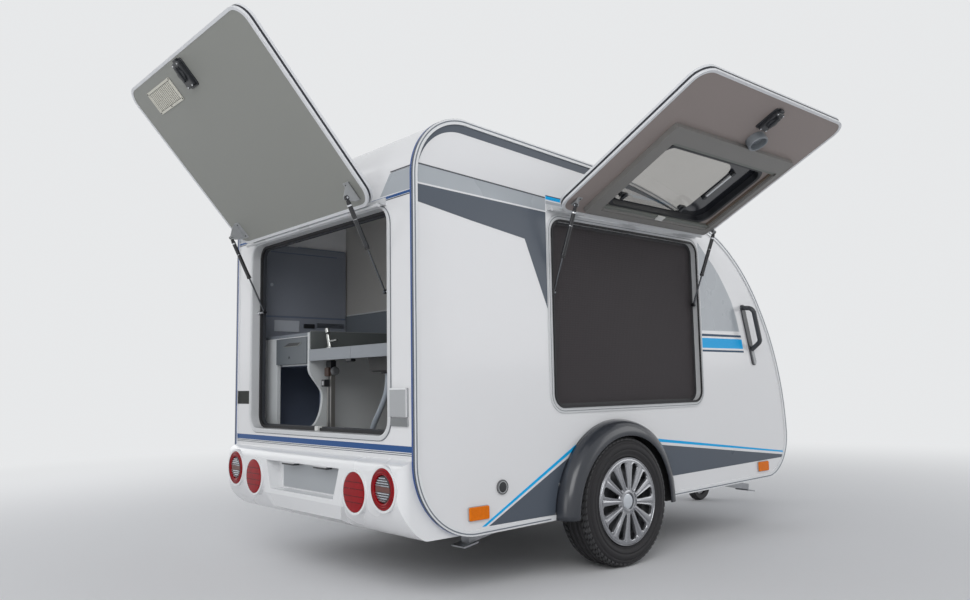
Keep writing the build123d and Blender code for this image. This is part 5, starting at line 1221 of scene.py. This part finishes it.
def blade(mesh, side, turn):
    """One blade of the cap: wide at the rim, crowned, with a raised edge along one side."""
    stations = (
        # radius, half width, height of the face off the cap's back
        (0.052, 0.0110, 0.0105), (0.066, 0.0115, 0.0112), (0.085, 0.0130, 0.0110), (0.110, 0.0157, 0.0102),
        (0.135, 0.0185, 0.0092), (0.157, 0.0218, 0.0084), (0.1655, 0.0330, 0.0080), (0.169, 0.0440, 0.0078),
    )
    across = (-1.0, -0.94, -0.80, -0.52, -0.34, -0.22, 0.10, 0.62, 0.90, 1.0)
    lift = (-0.0060, -0.0008, 0.0018, 0.0006, -0.0022, 0.0002, 0.0020, 0.0008, -0.0016, -0.0062)
    rings = []
    for radius, half, height in stations:
        ring = []
        back = (TYRE_OUT - 0.0145,)
        face = [TYRE_OUT - 0.0115 + height + up for up in lift]
        for share, y in zip(across + (1.0, -1.0), (*face, *back, *back)):
            ring.append(wheel_point(side, radius, turn + half * share / radius, y))
        rings.append(ring)
    stack(mesh, rings)


# Radius and distance out from the tyre's outer face, round the sections of the cap's turned parts
CAP_RIM = (
    (0.1660, -0.0145), (0.1662, -0.0050), (0.1685, -0.0036), (0.1740, -0.0036), (0.1790, -0.0046),
    (0.1806, -0.0070), (0.1822, -0.0072), (0.1838, -0.0044), (0.1858, -0.0044), (0.1872, -0.0070),
    (0.1875, -0.0130), (0.1800, -0.0145),
)
CAP_HUB = (
    (0.0315, -0.0100), (0.0345, -0.0098), (0.0355, -0.0030), (0.0385, -0.0006), (0.0430, -0.0012),
    (0.0470, -0.0030), (0.0530, -0.0034), (0.0590, -0.0050), (0.0620, -0.0085), (0.0625, -0.0145),
    (0.0315, -0.0145),
)
CAP_DISC = (
    (0.0005, -0.0040), (0.0180, -0.0042), (0.0285, -0.0052), (0.0312, -0.0066), (0.0316, -0.0140),
    (0.0005, -0.0140),
)
CAP_BLADES = 12
CAP_START = 25.0 / 30.0
# Radius and distance in from the tyre's outer face, round the rim's section
RIM_BARREL = (
    (0.1780, 0.0100), (0.1780, 0.157), (0.1740, 0.157), (0.1735, 0.098), (0.150, 0.060), (0.105, 0.048),
    (0.055, 0.070), (0.055, 0.200), (0.0205, 0.200), (0.0205, 0.066), (0.050, 0.062), (0.105, 0.042),
    (0.152, 0.054), (0.1690, 0.080), (0.1735, 0.030), (0.1745, 0.0100),
)
for name, side in SIDES:
    tyre = bmesh.new()
    turned_ring(tyre, side, tyre_profile(), 0, 124)
    tyre_piece = piece("road_tyre_" + name, tyre, "wheel_" + name, "tyre", tyre_black, smooth=True)
    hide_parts("tyre_" + name)
    for inner in (False, True):
        label = "tread_lugs_" + ("inner_" if inner else "outer_") + name
        lugs = repeat_round(label, lug(side, inner), LUGS, lug_rubber)
        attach(lugs, "wheel_" + name)
    rim = bmesh.new()
    turned_ring(rim, side, [(r, TYRE_OUT - inset) for r, inset in RIM_BARREL], 0, 72)
    rim_piece = piece("steel_rim_" + name, rim, "wheel_" + name, "silver", steel_dark, smooth=True)
    cap = bmesh.new()
    for profile, slot, steps in ((CAP_RIM, 0, 120), (CAP_HUB, 0, 60), (CAP_DISC, 1, 60)):
        turned_ring(cap, side, [(r, TYRE_OUT + y) for r, y in profile], slot, steps)
    for k in range(CAP_BLADES):
        blade(cap, side, 2 * math.pi * (k + CAP_START) / CAP_BLADES)
    piece("wheel_cap_" + name, cap, "wheel_" + name, "silver", cap_silver, cap_disc)
    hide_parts("rim_" + name)


# Bumper and number plate recess
# One white moulding, with a fine joint line under the rear wall. Two black lamp lenses hang under
# the top of the plate recess, and its seat is bare.
bumper_white = finish("bumper_white", (0.83, 0.835, 0.845), 0.26, coat=0.3, mottle=0.015, patch=0.4)
dress("rear_bumper", bumper_white)
plate_grey = finish("plate_seat", (0.42, 0.44, 0.46), 0.5, mottle=0.03)
recess_bits = bmesh.new()


def in_recess(y, z, depth):
    """A point on the back of the plate recess and a height off it, to the rear."""
    return place(0.0060 - depth, y, z)


raised(recess_bits, in_recess, ((-0.254, 0.358), (0.254, 0.460)), 0.004, 0.0, 0.0008, 0.0004, 1)
for side in (-1, 1):
    def under_top(a, b, depth, s=side):
        return place(b, s * a, 0.4662 - depth)
    plates(recess_bits, under_top, (
        (((0.082, -0.040), (0.188, -0.008)), 0.005, 0.0, 0.0062, 0.002, 0),
        (((0.096, -0.034), (0.174, -0.014)), 0.004, 0.0062, 0.0085, 0.001, 2),
    ))
lens_smoke = finish("lens_smoke", (0.22, 0.23, 0.24), 0.15, coat=0.3, grain=0.0003, grain_size=0.003)
piece("plate_lamps", recess_bits, "trailer", "black_plastic", black_plastic, plate_grey, lens_smoke)


# Tail lamps
# Round lenses in pairs on white collars. The inner ones are plain red with four faint bands, the
# outer ones a red ring round a dark bowl with bright fins.
red_lens = finish("red_lens", (0.30, 0.003, 0.008), 0.22, grain=0.0003, grain_size=0.005, mottle=0.30,
                  patch=0.03, specular=0.18)
red_deep = finish("red_lens_deep", (0.13, 0.002, 0.005), 0.25, mottle=0.2, patch=0.02,
                  specular=0.18)
bowl_dark = finish("lamp_bowl", (0.055, 0.045, 0.045), 0.25, metallic=0.5, mottle=0.1, patch=0.02)
fin_bright = finish("lamp_fins", (0.55, 0.57, 0.60), 0.18, metallic=0.8, mottle=0.08, patch=0.01)
bowl_brown = finish("lamp_band", (0.13, 0.045, 0.035), 0.3, mottle=0.1)
lamps = bmesh.new()
RING_AT = (0.612, 0.420)
PLAIN_AT = (0.421, 0.394)
LENS_FOOT = ((0.0695, -0.028), (0.0695, 0.0), (0.075, 0.0), (0.075, 0.0035))
PLAIN_LENS = LENS_FOOT + ((0.0735, 0.0055), (0.066, 0.0070), (0.040, 0.0080), (0.001, 0.0082))
RING_LENS = LENS_FOOT + (
    (0.0735, 0.0060), (0.0700, 0.0075), (0.0640, 0.0080), (0.0625, 0.0070), (0.0600, 0.0082),
    (0.0560, 0.0082), (0.0540, 0.0070), (0.0515, 0.0060), (0.0500, -0.0050), (0.0480, -0.0060),
)
BOWL = ((0.0492, -0.0055), (0.0485, 0.0020), (0.0470, 0.0030))


def on_lamp(a, b, depth):
    """A point on the lenses' back plane and a height off it, to the rear."""
    return place(-0.0520 - depth, a, b)


for side in (-1, 1):
    y, z = side * PLAIN_AT[0], PLAIN_AT[1]
    disc(lamps, on_lamp, (y, z), PLAIN_LENS, 0, 64)
    for height, half in ((-0.037, 0.058), (-0.014, 0.066), (0.013, 0.066), (0.038, 0.057)):
        low, high = z + height - 0.0016, z + height + 0.0016
        raised(lamps, on_lamp, ((y - half, low), (y + half, high)), 0.0012, 0.0045, 0.0084, 0.0004, 1)
    y, z = side * RING_AT[0], RING_AT[1]
    disc(lamps, on_lamp, (y, z), RING_LENS, 0, 72)
    for radius, wide in ((0.0668, 0.0012), (0.0580, 0.0010)):
        section = ((radius - wide, 0.0074), (radius + wide, 0.0074), (radius + wide, 0.0085),
                   (radius - wide, 0.0085))
        disc(lamps, on_lamp, (y, z), section, 1, 64, closed=True)
    disc(lamps, on_lamp, (y, z), BOWL, 2, 48)
    band_limits = ((y - 0.044, z - 0.0105), (y + 0.044, z + 0.0085))
    raised(lamps, on_lamp, band_limits, 0.004, 0.0030, 0.0045, 0.001, 4)
    for k in range(10):
        height = -0.040 + 0.080 * k / 9
        if abs(height + 0.001) < 0.012:
            continue
        half = math.sqrt(0.0445 ** 2 - height ** 2)
        low, high = z + height - 0.0024, z + height + 0.0024
        foot = ((y - half, low), (y + half, low), (y + half, high), (y - half, high))
        top = [on_lamp(a, b - 0.0010, 0.0080 if b == high else 0.0046) for a, b in foot]
        stack(lamps, [[on_lamp(a, b, 0.0030) for a, b in foot], top], 3)
lamp_piece = piece("round_lamps", lamps, "trailer", "lamp_red", red_lens, red_deep, bowl_dark, fin_bright,
                   bowl_brown)
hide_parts("tail_lamps")


# Side reflectors, covers and outlet
# Amber reflectors on grey backs, two grey service covers beside the rear opening, a round black
# water outlet, and a blank black label plate.
amber_lens = finish("amber_lens", (0.80, 0.185, 0.002), 0.22, grain=0.0004, grain_size=0.003,
                    mottle=0.12, patch=0.01, specular=0.2)
grey_plastic = finish("grey_plastic", (0.40, 0.41, 0.42), 0.42, grain=0.0002, grain_size=0.002)
cover_shadow_grey = finish("cover_painted_shadow", (0.20, 0.21, 0.215), 0.5, grain=0.0002, grain_size=0.002)
label_black = finish("blank_label", (0.008, 0.010, 0.008), 0.5, mottle=0.2, patch=0.03, specular=0.2)
reflectors = bmesh.new()
for side in (-1, 1):
    at = off_side(side)
    for x, z in ((0.287, 0.311), (2.290, 0.330)):
        plates(reflectors, at, (
            (((x - 0.050, z - 0.0265), (x + 0.050, z + 0.0265)), 0.006, 0.0, 0.005, 0.001, 1),
            (((x - 0.048, z - 0.0245), (x + 0.048, z + 0.0245)), 0.006, 0.005, 0.0118, 0.0022, 0),
        ))
        for k in range(9):
            a = x - 0.040 + 0.080 * k / 8
            raised(reflectors, at, ((a - 0.0006, z - 0.019), (a + 0.0006, z + 0.019)), 0.0005, 0.0116,
                   0.0122, 0.0002, 0)
reflector_piece = piece("amber_reflectors", reflectors, "trailer", "amber", amber_lens, grey_plastic)
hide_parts("side_reflectors")
dress("service_covers", grey_plastic)
covers = bmesh.new()
plates(covers, off_rear, (
    (((-0.694, 0.680), (-0.596, 0.772)), 0.003, 0.0098, 0.0104, 0.0003, 0),
    (((-0.698, 0.774), (-0.592, 0.780)), 0.001, 0.0098, 0.0110, 0.0003, 1),
    (((-0.6985, 0.676), (-0.6945, 0.780)), 0.001, 0.0098, 0.0110, 0.0003, 1),
    # The darker grey plate just below the right cover is the cover's painted shadow.
    (((-0.697, 0.642), (-0.593, 0.672)), 0.002, 0.0058, 0.0066, 0.0003, 2),
    (((0.590, 0.715), (0.722, 0.777)), 0.002, 0.0, 0.0008, 0.0003, 3),
))
OUTLET_AT = (0.410, 0.395)
OUTLET = ((0.0280, 0.0), (0.0285, 0.0045), (0.0265, 0.0064), (0.0240, 0.0064), (0.0215, 0.0035))
disc(covers, off_side(-1), OUTLET_AT, OUTLET, 4, 40)
disc(covers, off_side(-1), OUTLET_AT, ((0.0205, 0.0018), (0.0205, 0.0042), (0.0120, 0.0050)), 4, 32)
piece("cover_details", covers, "trailer", "grey_plastic", grey_plastic, bumper_white, cover_shadow_grey,
      label_black, black_plastic)


# Grab handles
# Black moulded bows on slot-shaped plates, with a grey pad at the lower end of each plate.
handle_black = finish("handle_black", (0.045, 0.048, 0.055), 0.30, coat=0.1, grain=0.0002,
                      grain_size=0.0015)
dress("grab_handles", handle_black)
pads = bmesh.new()
for side in (-1, 1):
    at = off_side(side)
    pad = ((2.2240, 0.957), (2.2466, 0.9625), (2.2690, 0.880), (2.2660, 0.873), (2.2585, 0.871),
           (2.2495, 0.876))
    flat_prism(pads, at, pad, 0.0078, 0.0086)
piece("handle_pads", pads, "trailer", "grey_plastic", grey_plastic)


# Chassis, axle, stands and coupling
# Everything below the floor is hot-dip zinc with its cloudy spangle, under a floor of dark board.
# The jockey wheel has a solid rubber tyre and a grey disc on each side.
def zinc_coat(name, colour, size):
    """Zinc with spangle: flat patches that differ in tone and gloss."""
    made = finish(name, colour, 0.42, metallic=0.8, mottle=0.10, patch=0.10)
    tree = made.node_tree
    shader = tree.nodes["Principled BSDF"]
    where = tree.nodes["Texture Coordinate"]
    cells = tree.nodes.new("ShaderNodeTexVoronoi")
    cells.inputs["Scale"].default_value = 1.0 / size
    tree.links.new(where.outputs["Object"], cells.inputs["Vector"])
    level = tree.nodes.new("ShaderNodeSeparateColor")
    tree.links.new(cells.outputs["Color"], level.inputs["Color"])
    gloss = tree.nodes.new("ShaderNodeMapRange")
    gloss.inputs["To Min"].default_value = 0.28
    gloss.inputs["To Max"].default_value = 0.58
    tree.links.new(level.outputs["Red"], gloss.inputs["Value"])
    tree.links.new(gloss.outputs["Result"], shader.inputs["Roughness"])
    return made


zinc = zinc_coat("zinc_coat", (0.36, 0.37, 0.39), 0.011)
floor_board = finish("floor_board", (0.035, 0.033, 0.031), 0.72, grain=0.0004, grain_size=0.004, mottle=0.2,
                     patch=0.08)
for node in ("chassis", "coupling_head", "jockey_tube", "jockey_leg", "jockey_fork", "steady_bases",
             "steady_leg_front_right", "steady_leg_front_left", "steady_leg_rear_right",
             "steady_leg_rear_left", "axle"):
    dress(node, zinc)
dress("floor_panel", floor_board)
dress("jockey_wheel", black_rubber)
wheel_bits = bmesh.new()
for side in (-1, 1):
    def off_jockey(a, b, depth, s=side):
        return place(2.994 + a, 0.1571 + s * (0.0195 + depth), 0.100 + b)
    section = ((0.0240, -0.0140), (0.0240, -0.0120), (0.0600, -0.0120), (0.0600, -0.0140))
    disc(wheel_bits, off_jockey, (0.0, 0.0), section, 0, 40, closed=True)
piece("jockey_wheel_disc", wheel_bits, "jockey_wheel", "zinc", grey_plastic)


# Kitchen
# Laminated boards: a wall to the cabin, a cupboard with a scooped side on the left, and a wall
# locker above it. The cupboard hollow is lined in dark navy, painted shade for its depth.
board_pale = finish("board_pale", (0.56, 0.58, 0.59), 0.42, mottle=0.02)
wall_warm = finish("wall_warm", (0.44, 0.43, 0.41), 0.50, mottle=0.03, patch=0.4)
board_slate = finish("board_slate", (0.25, 0.27, 0.315), 0.30, mottle=0.06, patch=0.3)
board_edge = finish("board_edge", (0.70, 0.71, 0.72), 0.4, mottle=0.02)
navy_painted_shade = finish("navy_painted_shade", (0.15, 0.18, 0.25), 0.6, mottle=0.2, patch=0.2)
socket_dark = finish("socket_dark", (0.012, 0.013, 0.016), 0.35, mottle=0.05)
wall_painted_bounce_light = finish("wall_painted_bounce_light", (0.90, 0.86, 0.80), 0.55, mottle=0.03, patch=0.4)
board_grey = finish("board_grey", (0.17, 0.19, 0.215), 0.4, mottle=0.03)
light_grey_gloss = finish("gloss_grey", (0.52, 0.55, 0.60), 0.18, coat=0.3, mottle=0.03)


cabinet = bmesh.new()
boards(cabinet, (
    # limits forward, left and up, slot, bevel
    ((0.600, 0.615), (-0.705, 0.705), (0.380, 1.750), 1),
    # A much paler sheet on the wall below the worktop is painted bounce light on the lower wall.
    ((0.5975, 0.6005), (-0.7045, 0.1955), (0.385, 0.941), 8, 0.0002),
    ((0.5975, 0.6005), (-0.7045, 0.704), (0.960, 1.165), 9, 0.0002),
    ((0.5940, 0.6005), (-0.7045, 0.688), (1.165, 1.172), 0, 0.001),
    ((0.096, 0.600), (0.212, 0.705), (1.020, 1.036), 9),
    ((0.0945, 0.0965), (0.212, 0.700), (1.0185, 1.0215), 2, 0.0005),
    ((0.112, 0.600), (0.212, 0.705), (0.8890, 0.8955), 0),
    ((0.096, 0.112), (0.500, 0.705), (0.380, 1.020), 0),
    ((0.112, 0.600), (0.212, 0.226), (0.888, 0.8957), 3),
    ((0.112, 0.600), (0.482, 0.496), (0.888, 0.8957), 3),
))
FRONT_X = 0.096
SCOOP_DEEP = 0.068
side_board = [(0.600, 0.380), (0.600, 1.036), (0.096, 1.036)]
for k in range(15):
    share = k / 14
    reach = share * share * (3 - 2 * share)
    side_board.append((FRONT_X + SCOOP_DEEP * reach, 0.874 - 0.124 * share))
for k in range(1, 17):
    share = k / 16
    side_board.append((FRONT_X + SCOOP_DEEP * math.sqrt(1 - share * share), 0.750 - 0.140 * share))
side_board.append((FRONT_X, 0.380))
stack(cabinet, [[place(x, y, z) for x, z in side_board] for y in (0.196, 0.212)], 0)
outer = [place(x, 0.1958, z) for x, z in side_board[2:]]
inner = [place(x + 0.0030, 0.1958, z) for x, z in side_board[2:]]
ribbon(cabinet, outer, inner, (0, -0.0006, 0), 2)
# The hollow below the drawer, lined in navy as painted shade, and the locker's body
boards(cabinet, (
    ((0.5985, 0.5995), (0.2135, 0.704), (0.381, 0.888), 4, 0.0002),
    ((0.160, 0.598), (0.2125, 0.2135), (0.381, 0.888), 4, 0.0002),
    ((0.113, 0.598), (0.7035, 0.7045), (0.381, 0.888), 4, 0.0002),
    ((0.113, 0.598), (0.214, 0.703), (0.8875, 0.8890), 4, 0.0002),
    ((0.1125, 0.598), (0.214, 0.703), (0.3805, 0.3815), 4, 0.0002),
    ((0.240, 0.570), (0.260, 0.680), (0.3815, 0.560), 4, 0.006),
    ((0.118, 0.5885), (0.692, 0.7045), (1.036, 1.514), 5),
))


def off_locker(x, z, depth):
    """A point on the locker's front and a height off it, to the right."""
    return place(x, 0.690 - depth, z)


# A shallow door with a rail above it, a knob, and a strip with its socket and vent below. The navy
# lines in the gaps above and below the door are painted shade.
plates(cabinet, off_locker, (
    (((0.118, 1.152), (0.588, 1.476)), 0.004, -0.002, 0.0, 0.0012, 5),
    (((0.118, 1.481), (0.588, 1.514)), 0.010, -0.002, 0.0, 0.0012, 5),
    (((0.150, 1.4755), (0.535, 1.4815)), 0.001, -0.0022, -0.0012, 0.0003, 4),
    (((0.118, 1.1445), (0.588, 1.1525)), 0.001, -0.0022, -0.0012, 0.0003, 4),
    (((0.300, 1.5115), (0.580, 1.5150)), 0.001, -0.0005, 0.0010, 0.0003, 4),
    (((0.172, 1.072), (0.312, 1.130)), 0.003, -0.002, 0.003, 0.001, 6),
    (((0.338, 1.094), (0.400, 1.116)), 0.003, -0.002, 0.004, 0.001, 7),
))
knob = ((0.0085, 0.0), (0.0085, 0.003), (0.006, 0.0045), (0.003, 0.0045))
disc(cabinet, off_locker, (0.156, 1.309), knob, 6, 24)
for k in range(4):
    z = 1.100 + 0.0062 * k
    raised(cabinet, off_locker, ((0.415, z), (0.576, z + 0.0028)), 0.001, -0.002, 0.0022, 0.0006, 7)
cabinet_piece = piece("kitchen_boards", cabinet, "trailer", "cabinet", board_pale, wall_warm, board_edge,
                      bright_steel, navy_painted_shade, board_slate, light_grey_gloss, socket_dark, wall_painted_bounce_light,
                      board_grey)
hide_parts("kitchen_cabinet")


# Drawer
# A laminated box on steel runners, in grey. Its front has a slanted dark grip and a small lock.
drawer_pale = finish("drawer_pale", (0.105, 0.120, 0.133), 0.45, mottle=0.03)
dress("kitchen_drawer", drawer_pale)
drawer_bits = bmesh.new()


def off_drawer(y, z, depth):
    """A point on the drawer's front and a height off it, to the rear."""
    return place(0.094 - depth, y, z)


raised(drawer_bits, off_drawer, ((0.2145, 0.8965), (0.507, 1.0175)), 0.002, -0.0015, 0.0015, 0.0005, 2)
grip = ((0.436, 0.980), (0.295, 0.980), (0.262, 0.994), (0.380, 0.996))
flat_prism(drawer_bits, off_drawer, grip, 0.0012, 0.0020, 0)
flat_prism(drawer_bits, off_drawer, ((0.436, 0.9785), (0.295, 0.9785), (0.262, 0.9925), (0.264, 0.9948),
                                     (0.297, 0.9808), (0.434, 0.9808)), 0.0012, 0.0032, 1)
disc(drawer_bits, off_drawer, (0.380, 0.928), ((0.0065, 0.0012), (0.0065, 0.0020), (0.0050, 0.0026)), 0, 24)
piece("drawer_front", drawer_bits, "kitchen_drawer", "cabinet", socket_dark, rail_grey, drawer_pale)


# Worktop, sink and tap
# A slim grey board with a paler front edge strip, a stainless sink let into it, a slim chrome tap
# and, along its left end, the raised smoked-glass lid of the sink.
top_grey = finish("worktop_grey", (0.115, 0.125, 0.14), 0.30, coat=0.15, mottle=0.05, grain=0.0001)
fascia_white = finish("fascia_white", (0.25, 0.27, 0.295), 0.32, mottle=0.02)
sink_steel = finish("sink_steel", (0.34, 0.34, 0.35), 0.32, metallic=0.9, mottle=0.12, patch=0.03)
painted_shade_under_sink = finish("sink_underside_painted_shade", (0.075, 0.075, 0.075), 0.7, mottle=0.15, patch=0.03, specular=0.2)
tap_chrome = finish("tap_chrome", (0.42, 0.43, 0.42), 0.25, metallic=1.0, mottle=0.05, patch=0.02)
smoked = finish("smoked_glass", (0.125, 0.135, 0.134), 0.06, mottle=0.1)
smoked.node_tree.nodes["Principled BSDF"].inputs["Alpha"].default_value = 0.84
lid_edge = finish("lid_edge", (0.20, 0.21, 0.22), 0.3, mottle=0.05)


def off_lid(x, z, depth):
    """A point on the raised lid's left face and a height off it, to the right."""
    return place(x, 0.193 - depth, z)


lid = bmesh.new()
raised(lid, off_lid, ((0.099, 0.9595), (0.588, 1.042)), 0.005, 0.0, 0.005, 0.0008, 0)
board(lid, (0.101, 0.586), (0.1875, 0.1935), (1.0405, 1.0435), 1, 0.0006)
lid_piece = piece("sink_lid_pane", lid, "trailer", "dark_glass", smoked, lid_edge)
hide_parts("sink_lid")
work = bmesh.new()
TOP_Z = 0.958
boards(work, (
    ((0.112, 0.150), (-0.705, 0.196), (0.942, TOP_Z), 0),
    ((0.430, 0.600), (-0.705, 0.196), (0.942, TOP_Z), 0),
    ((0.150, 0.430), (-0.705, -0.520), (0.942, TOP_Z), 0),
    ((0.150, 0.430), (-0.170, 0.196), (0.942, TOP_Z), 0),
    ((0.096, 0.112), (-0.705, -0.1550), (0.906, TOP_Z), 1, 0.001),
    ((0.096, 0.112), (-0.1530, 0.196), (0.906, TOP_Z), 1, 0.001),
    ((0.098, 0.112), (-0.1552, -0.1528), (0.907, 0.957), 2, 0.0003),
    ((0.094, 0.118), (-0.157, -0.117), (0.893, 0.906), 2, 0.003),
))
SINK = (((0.150, -0.520), (0.430, -0.170)), 0.030)


def off_top(x, y, depth):
    """A point on the worktop and a height over it."""
    return place(x, y, TOP_Z + depth)


# Growth and height off the worktop: the bowl's inside from its rim down, then its underside back up
SINK_INSIDE = ((0.014, 0.0), (0.013, 0.003), (-0.003, 0.003), (-0.006, -0.004), (-0.016, -0.100),
               (-0.030, -0.106))
SINK_UNDER = ((-0.028, -0.110), (-0.014, -0.104), (-0.002, -0.016), (-0.0005, -0.0005))
bowl_rings = rings_round(off_top, *SINK, SINK_INSIDE + SINK_UNDER)
bowl_faces = stack(work, bowl_rings, 3, closed=True)
# The bowl's underside and bottom take a flat dark grey in place of steel: painted shade under the sink.
for face in bowl_faces[len(bowl_rings[0]) * len(SINK_INSIDE):]:
    face.material_index = 5
bowl_floor = rings_round(off_top, *SINK, ((-0.030, -0.1098), (-0.030, -0.1062)))
stack(work, bowl_floor, 5)
drain = ((0.030, -0.110), (0.030, -0.112), (0.027, -0.1175), (0.016, -0.1178))
disc(work, off_top, (0.210, -0.262), drain, 2, 32)
TAP_FOOT = place(0.150, 0.103, TOP_Z)
TAP_HIGH = place(0.150, 0.134, 1.052)
ring_on(work, place(0.150, 0.103, 0.9575), place(0.150, 0.103, 0.968), 0.0, 0.009, 0.019, 4)
for near, far, radius, slot in ((0.004, 0.070, 0.0095, 4), (0.068, 0.078, 0.0075, 2),
                                (0.076, 0.098, 0.0105, 4)):
    ring_on(work, TAP_FOOT, TAP_HIGH, near, far, radius, slot)
ring_on(work, place(0.150, 0.112, 0.992), place(0.150, 0.040, 0.995), 0.0, 0.066, 0.0050, 4)
work_piece = piece("worktop_pieces", work, "trailer", "grey_board", top_grey, fascia_white, socket_dark,
                   sink_steel, tap_chrome, painted_shade_under_sink)
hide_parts("worktop")


# Table post
# A rectangular steel tube that stands on a foot plate, with a dark clamp, its round knob and a
# small dark box.
post_steel = finish("post_steel", (0.26, 0.255, 0.245), 0.38, metallic=0.7, mottle=0.08, patch=0.06)
post = bmesh.new()
boards(post, (
    ((0.160, 0.180), (0.112, 0.148), (0.385, 0.942), 0, 0.002),
    ((0.1595, 0.1605), (0.124, 0.136), (0.390, 0.840), 1, 0.0002),
    ((0.134, 0.206), (0.092, 0.168), (0.380, 0.385), 0, 0.001),
    ((0.148, 0.161), (0.116, 0.150), (0.836, 0.876), 3, 0.003),
    ((0.157, 0.183), (0.109, 0.151), (0.872, 0.906), 1, 0.002),
    ((0.136, 0.160), (0.130, 0.156), (0.790, 0.822), 1, 0.002),
    ((0.1345, 0.136), (0.136, 0.150), (0.797, 0.815), 2, 0.0005),
))
knob_start = place(0.169, 0.114, 0.859)
knob_end = place(0.169, 0.080, 0.859)
sleeve(post, knob_start, knob_end, 0.0, 0.010, ((0.0, 0.008), (1.0, 0.008)), 1)
sleeve(post, knob_start, knob_end, 0.010, 0.030,
       ((0.0, 0.012), (0.15, 0.019), (0.6, 0.020), (0.9, 0.018), (1.0, 0.012)), 4, 28)
clamp_brown = finish("clamp_brown", (0.060, 0.034, 0.026), 0.5, mottle=0.15, patch=0.02)
knob_grey = finish("knob_grey", (0.12, 0.125, 0.13), 0.4, mottle=0.1, patch=0.02)
post_piece = piece("table_post_pieces", post, "trailer", "zinc", post_steel, socket_dark, grey_plastic,
                   clamp_brown, knob_grey)
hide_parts("table_post")


# Sill clip
# A small white plastic clip at the middle of the rear sill. It holds the ends of the rubber seal
# together.
sill_clip = bmesh.new()
board(sill_clip, (0.026, 0.060), (-0.006, 0.020), (0.6038, 0.6240), 0, 0.002)
piece("sill_clip", sill_clip, "trailer", "white_plastic", clip_white)


# Mattress
# Three foam pads in a grey woven cloth, with sewn channels across each. They lie on the floor
# panel and are only a hint behind the screen and the windows.
pad_cloth = net("pad_cloth", (0.16, 0.165, 0.18), 0.0030, 1.0)
pad_cloth.node_tree.nodes["Principled BSDF"].inputs["Sheen Weight"].default_value = 0.35
PAD_ENDS = (0.646, 1.230, 1.813, 2.384)
PAD_VOXEL = 0.013
PAD_SWELL = 0.014
# Growth and height above the ground, from the pad's under edge to its upper edge
PAD_EDGE = ((-0.016, 0.396), (-0.004, 0.398), (0.0, 0.406), (0.0, 0.470), (-0.004, 0.480), (-0.016, 0.484))
CHANNEL_PITCH = 0.19


def swelled(name, data):
    """The same mesh as a sewn pad, blown up a little by a short cloth simulation."""
    pad = bpy.data.objects.new(name, data)
    bpy.context.scene.collection.objects.link(pad)
    grid = pad.modifiers.new("even_grid", "REMESH")
    grid.mode = "VOXEL"
    grid.voxel_size = PAD_VOXEL
    graph = bpy.context.evaluated_depsgraph_get()
    even = bpy.data.meshes.new_from_object(pad.evaluated_get(graph), depsgraph=graph)
    pad.modifiers.clear()
    pad.data = even
    start = [v.co.copy() for v in even.vertices]
    cloth = pad.modifiers.new("pad_cloth", "CLOTH")
    cloth.settings.use_pressure = True
    cloth.settings.uniform_pressure_force = 4.0
    cloth.settings.effector_weights.gravity = 0.0
    cloth.collision_settings.use_collision = False
    for step in range(1, 21):
        bpy.context.scene.frame_set(step)
    graph = bpy.context.evaluated_depsgraph_get()
    blown = bpy.data.meshes.new_from_object(pad.evaluated_get(graph), depsgraph=graph)
    pad.modifiers.clear()
    for vertex, old, new in zip(even.vertices, start, blown.vertices):
        move = new.co - old
        if move.length > PAD_SWELL:
            move *= PAD_SWELL / move.length
        vertex.co = old + move
    bpy.context.scene.frame_set(1)
    return pad


for number, (low, high) in enumerate(zip(PAD_ENDS, PAD_ENDS[1:])):
    shape = bmesh.new()
    limits = ((low + 0.016, -0.572), (high - 0.016, 0.572))
    stack(shape, rings_round(place, limits, 0.045, PAD_EDGE))
    name = "mattress_pad_" + str(number + 1)
    pad = swelled(name, as_data(name, shape))
    for vertex in pad.data.vertices:
        across = abs((vertex.co.y / CHANNEL_PITCH + 0.5) % 1.0 - 0.5) * CHANNEL_PITCH
        top = min(1.0, max(0.0, (vertex.co.z - GROUND_Z - 0.470) / 0.012))
        vertex.co.z -= 0.009 * top * max(0.0, 1.0 - across / 0.022) ** 2
        vertex.co.z = max(vertex.co.z, GROUND_Z + 0.3812)
    for polygon in pad.data.polygons:
        polygon.use_smooth = True
    rounder = pad.modifiers.new("rounder", "SUBSURF")
    rounder.levels = 1
    rounder.render_levels = 1
    pad.data.materials.clear()
    pad.data.materials.append(pad_cloth)
    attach(pad, "trailer")
    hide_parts("mattress")

# Size
# The solid model's box and the dressed model's box are put side by side.
dressed_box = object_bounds()
[[list(corner) for corner in both] for both in (cad_box, dressed_box)]
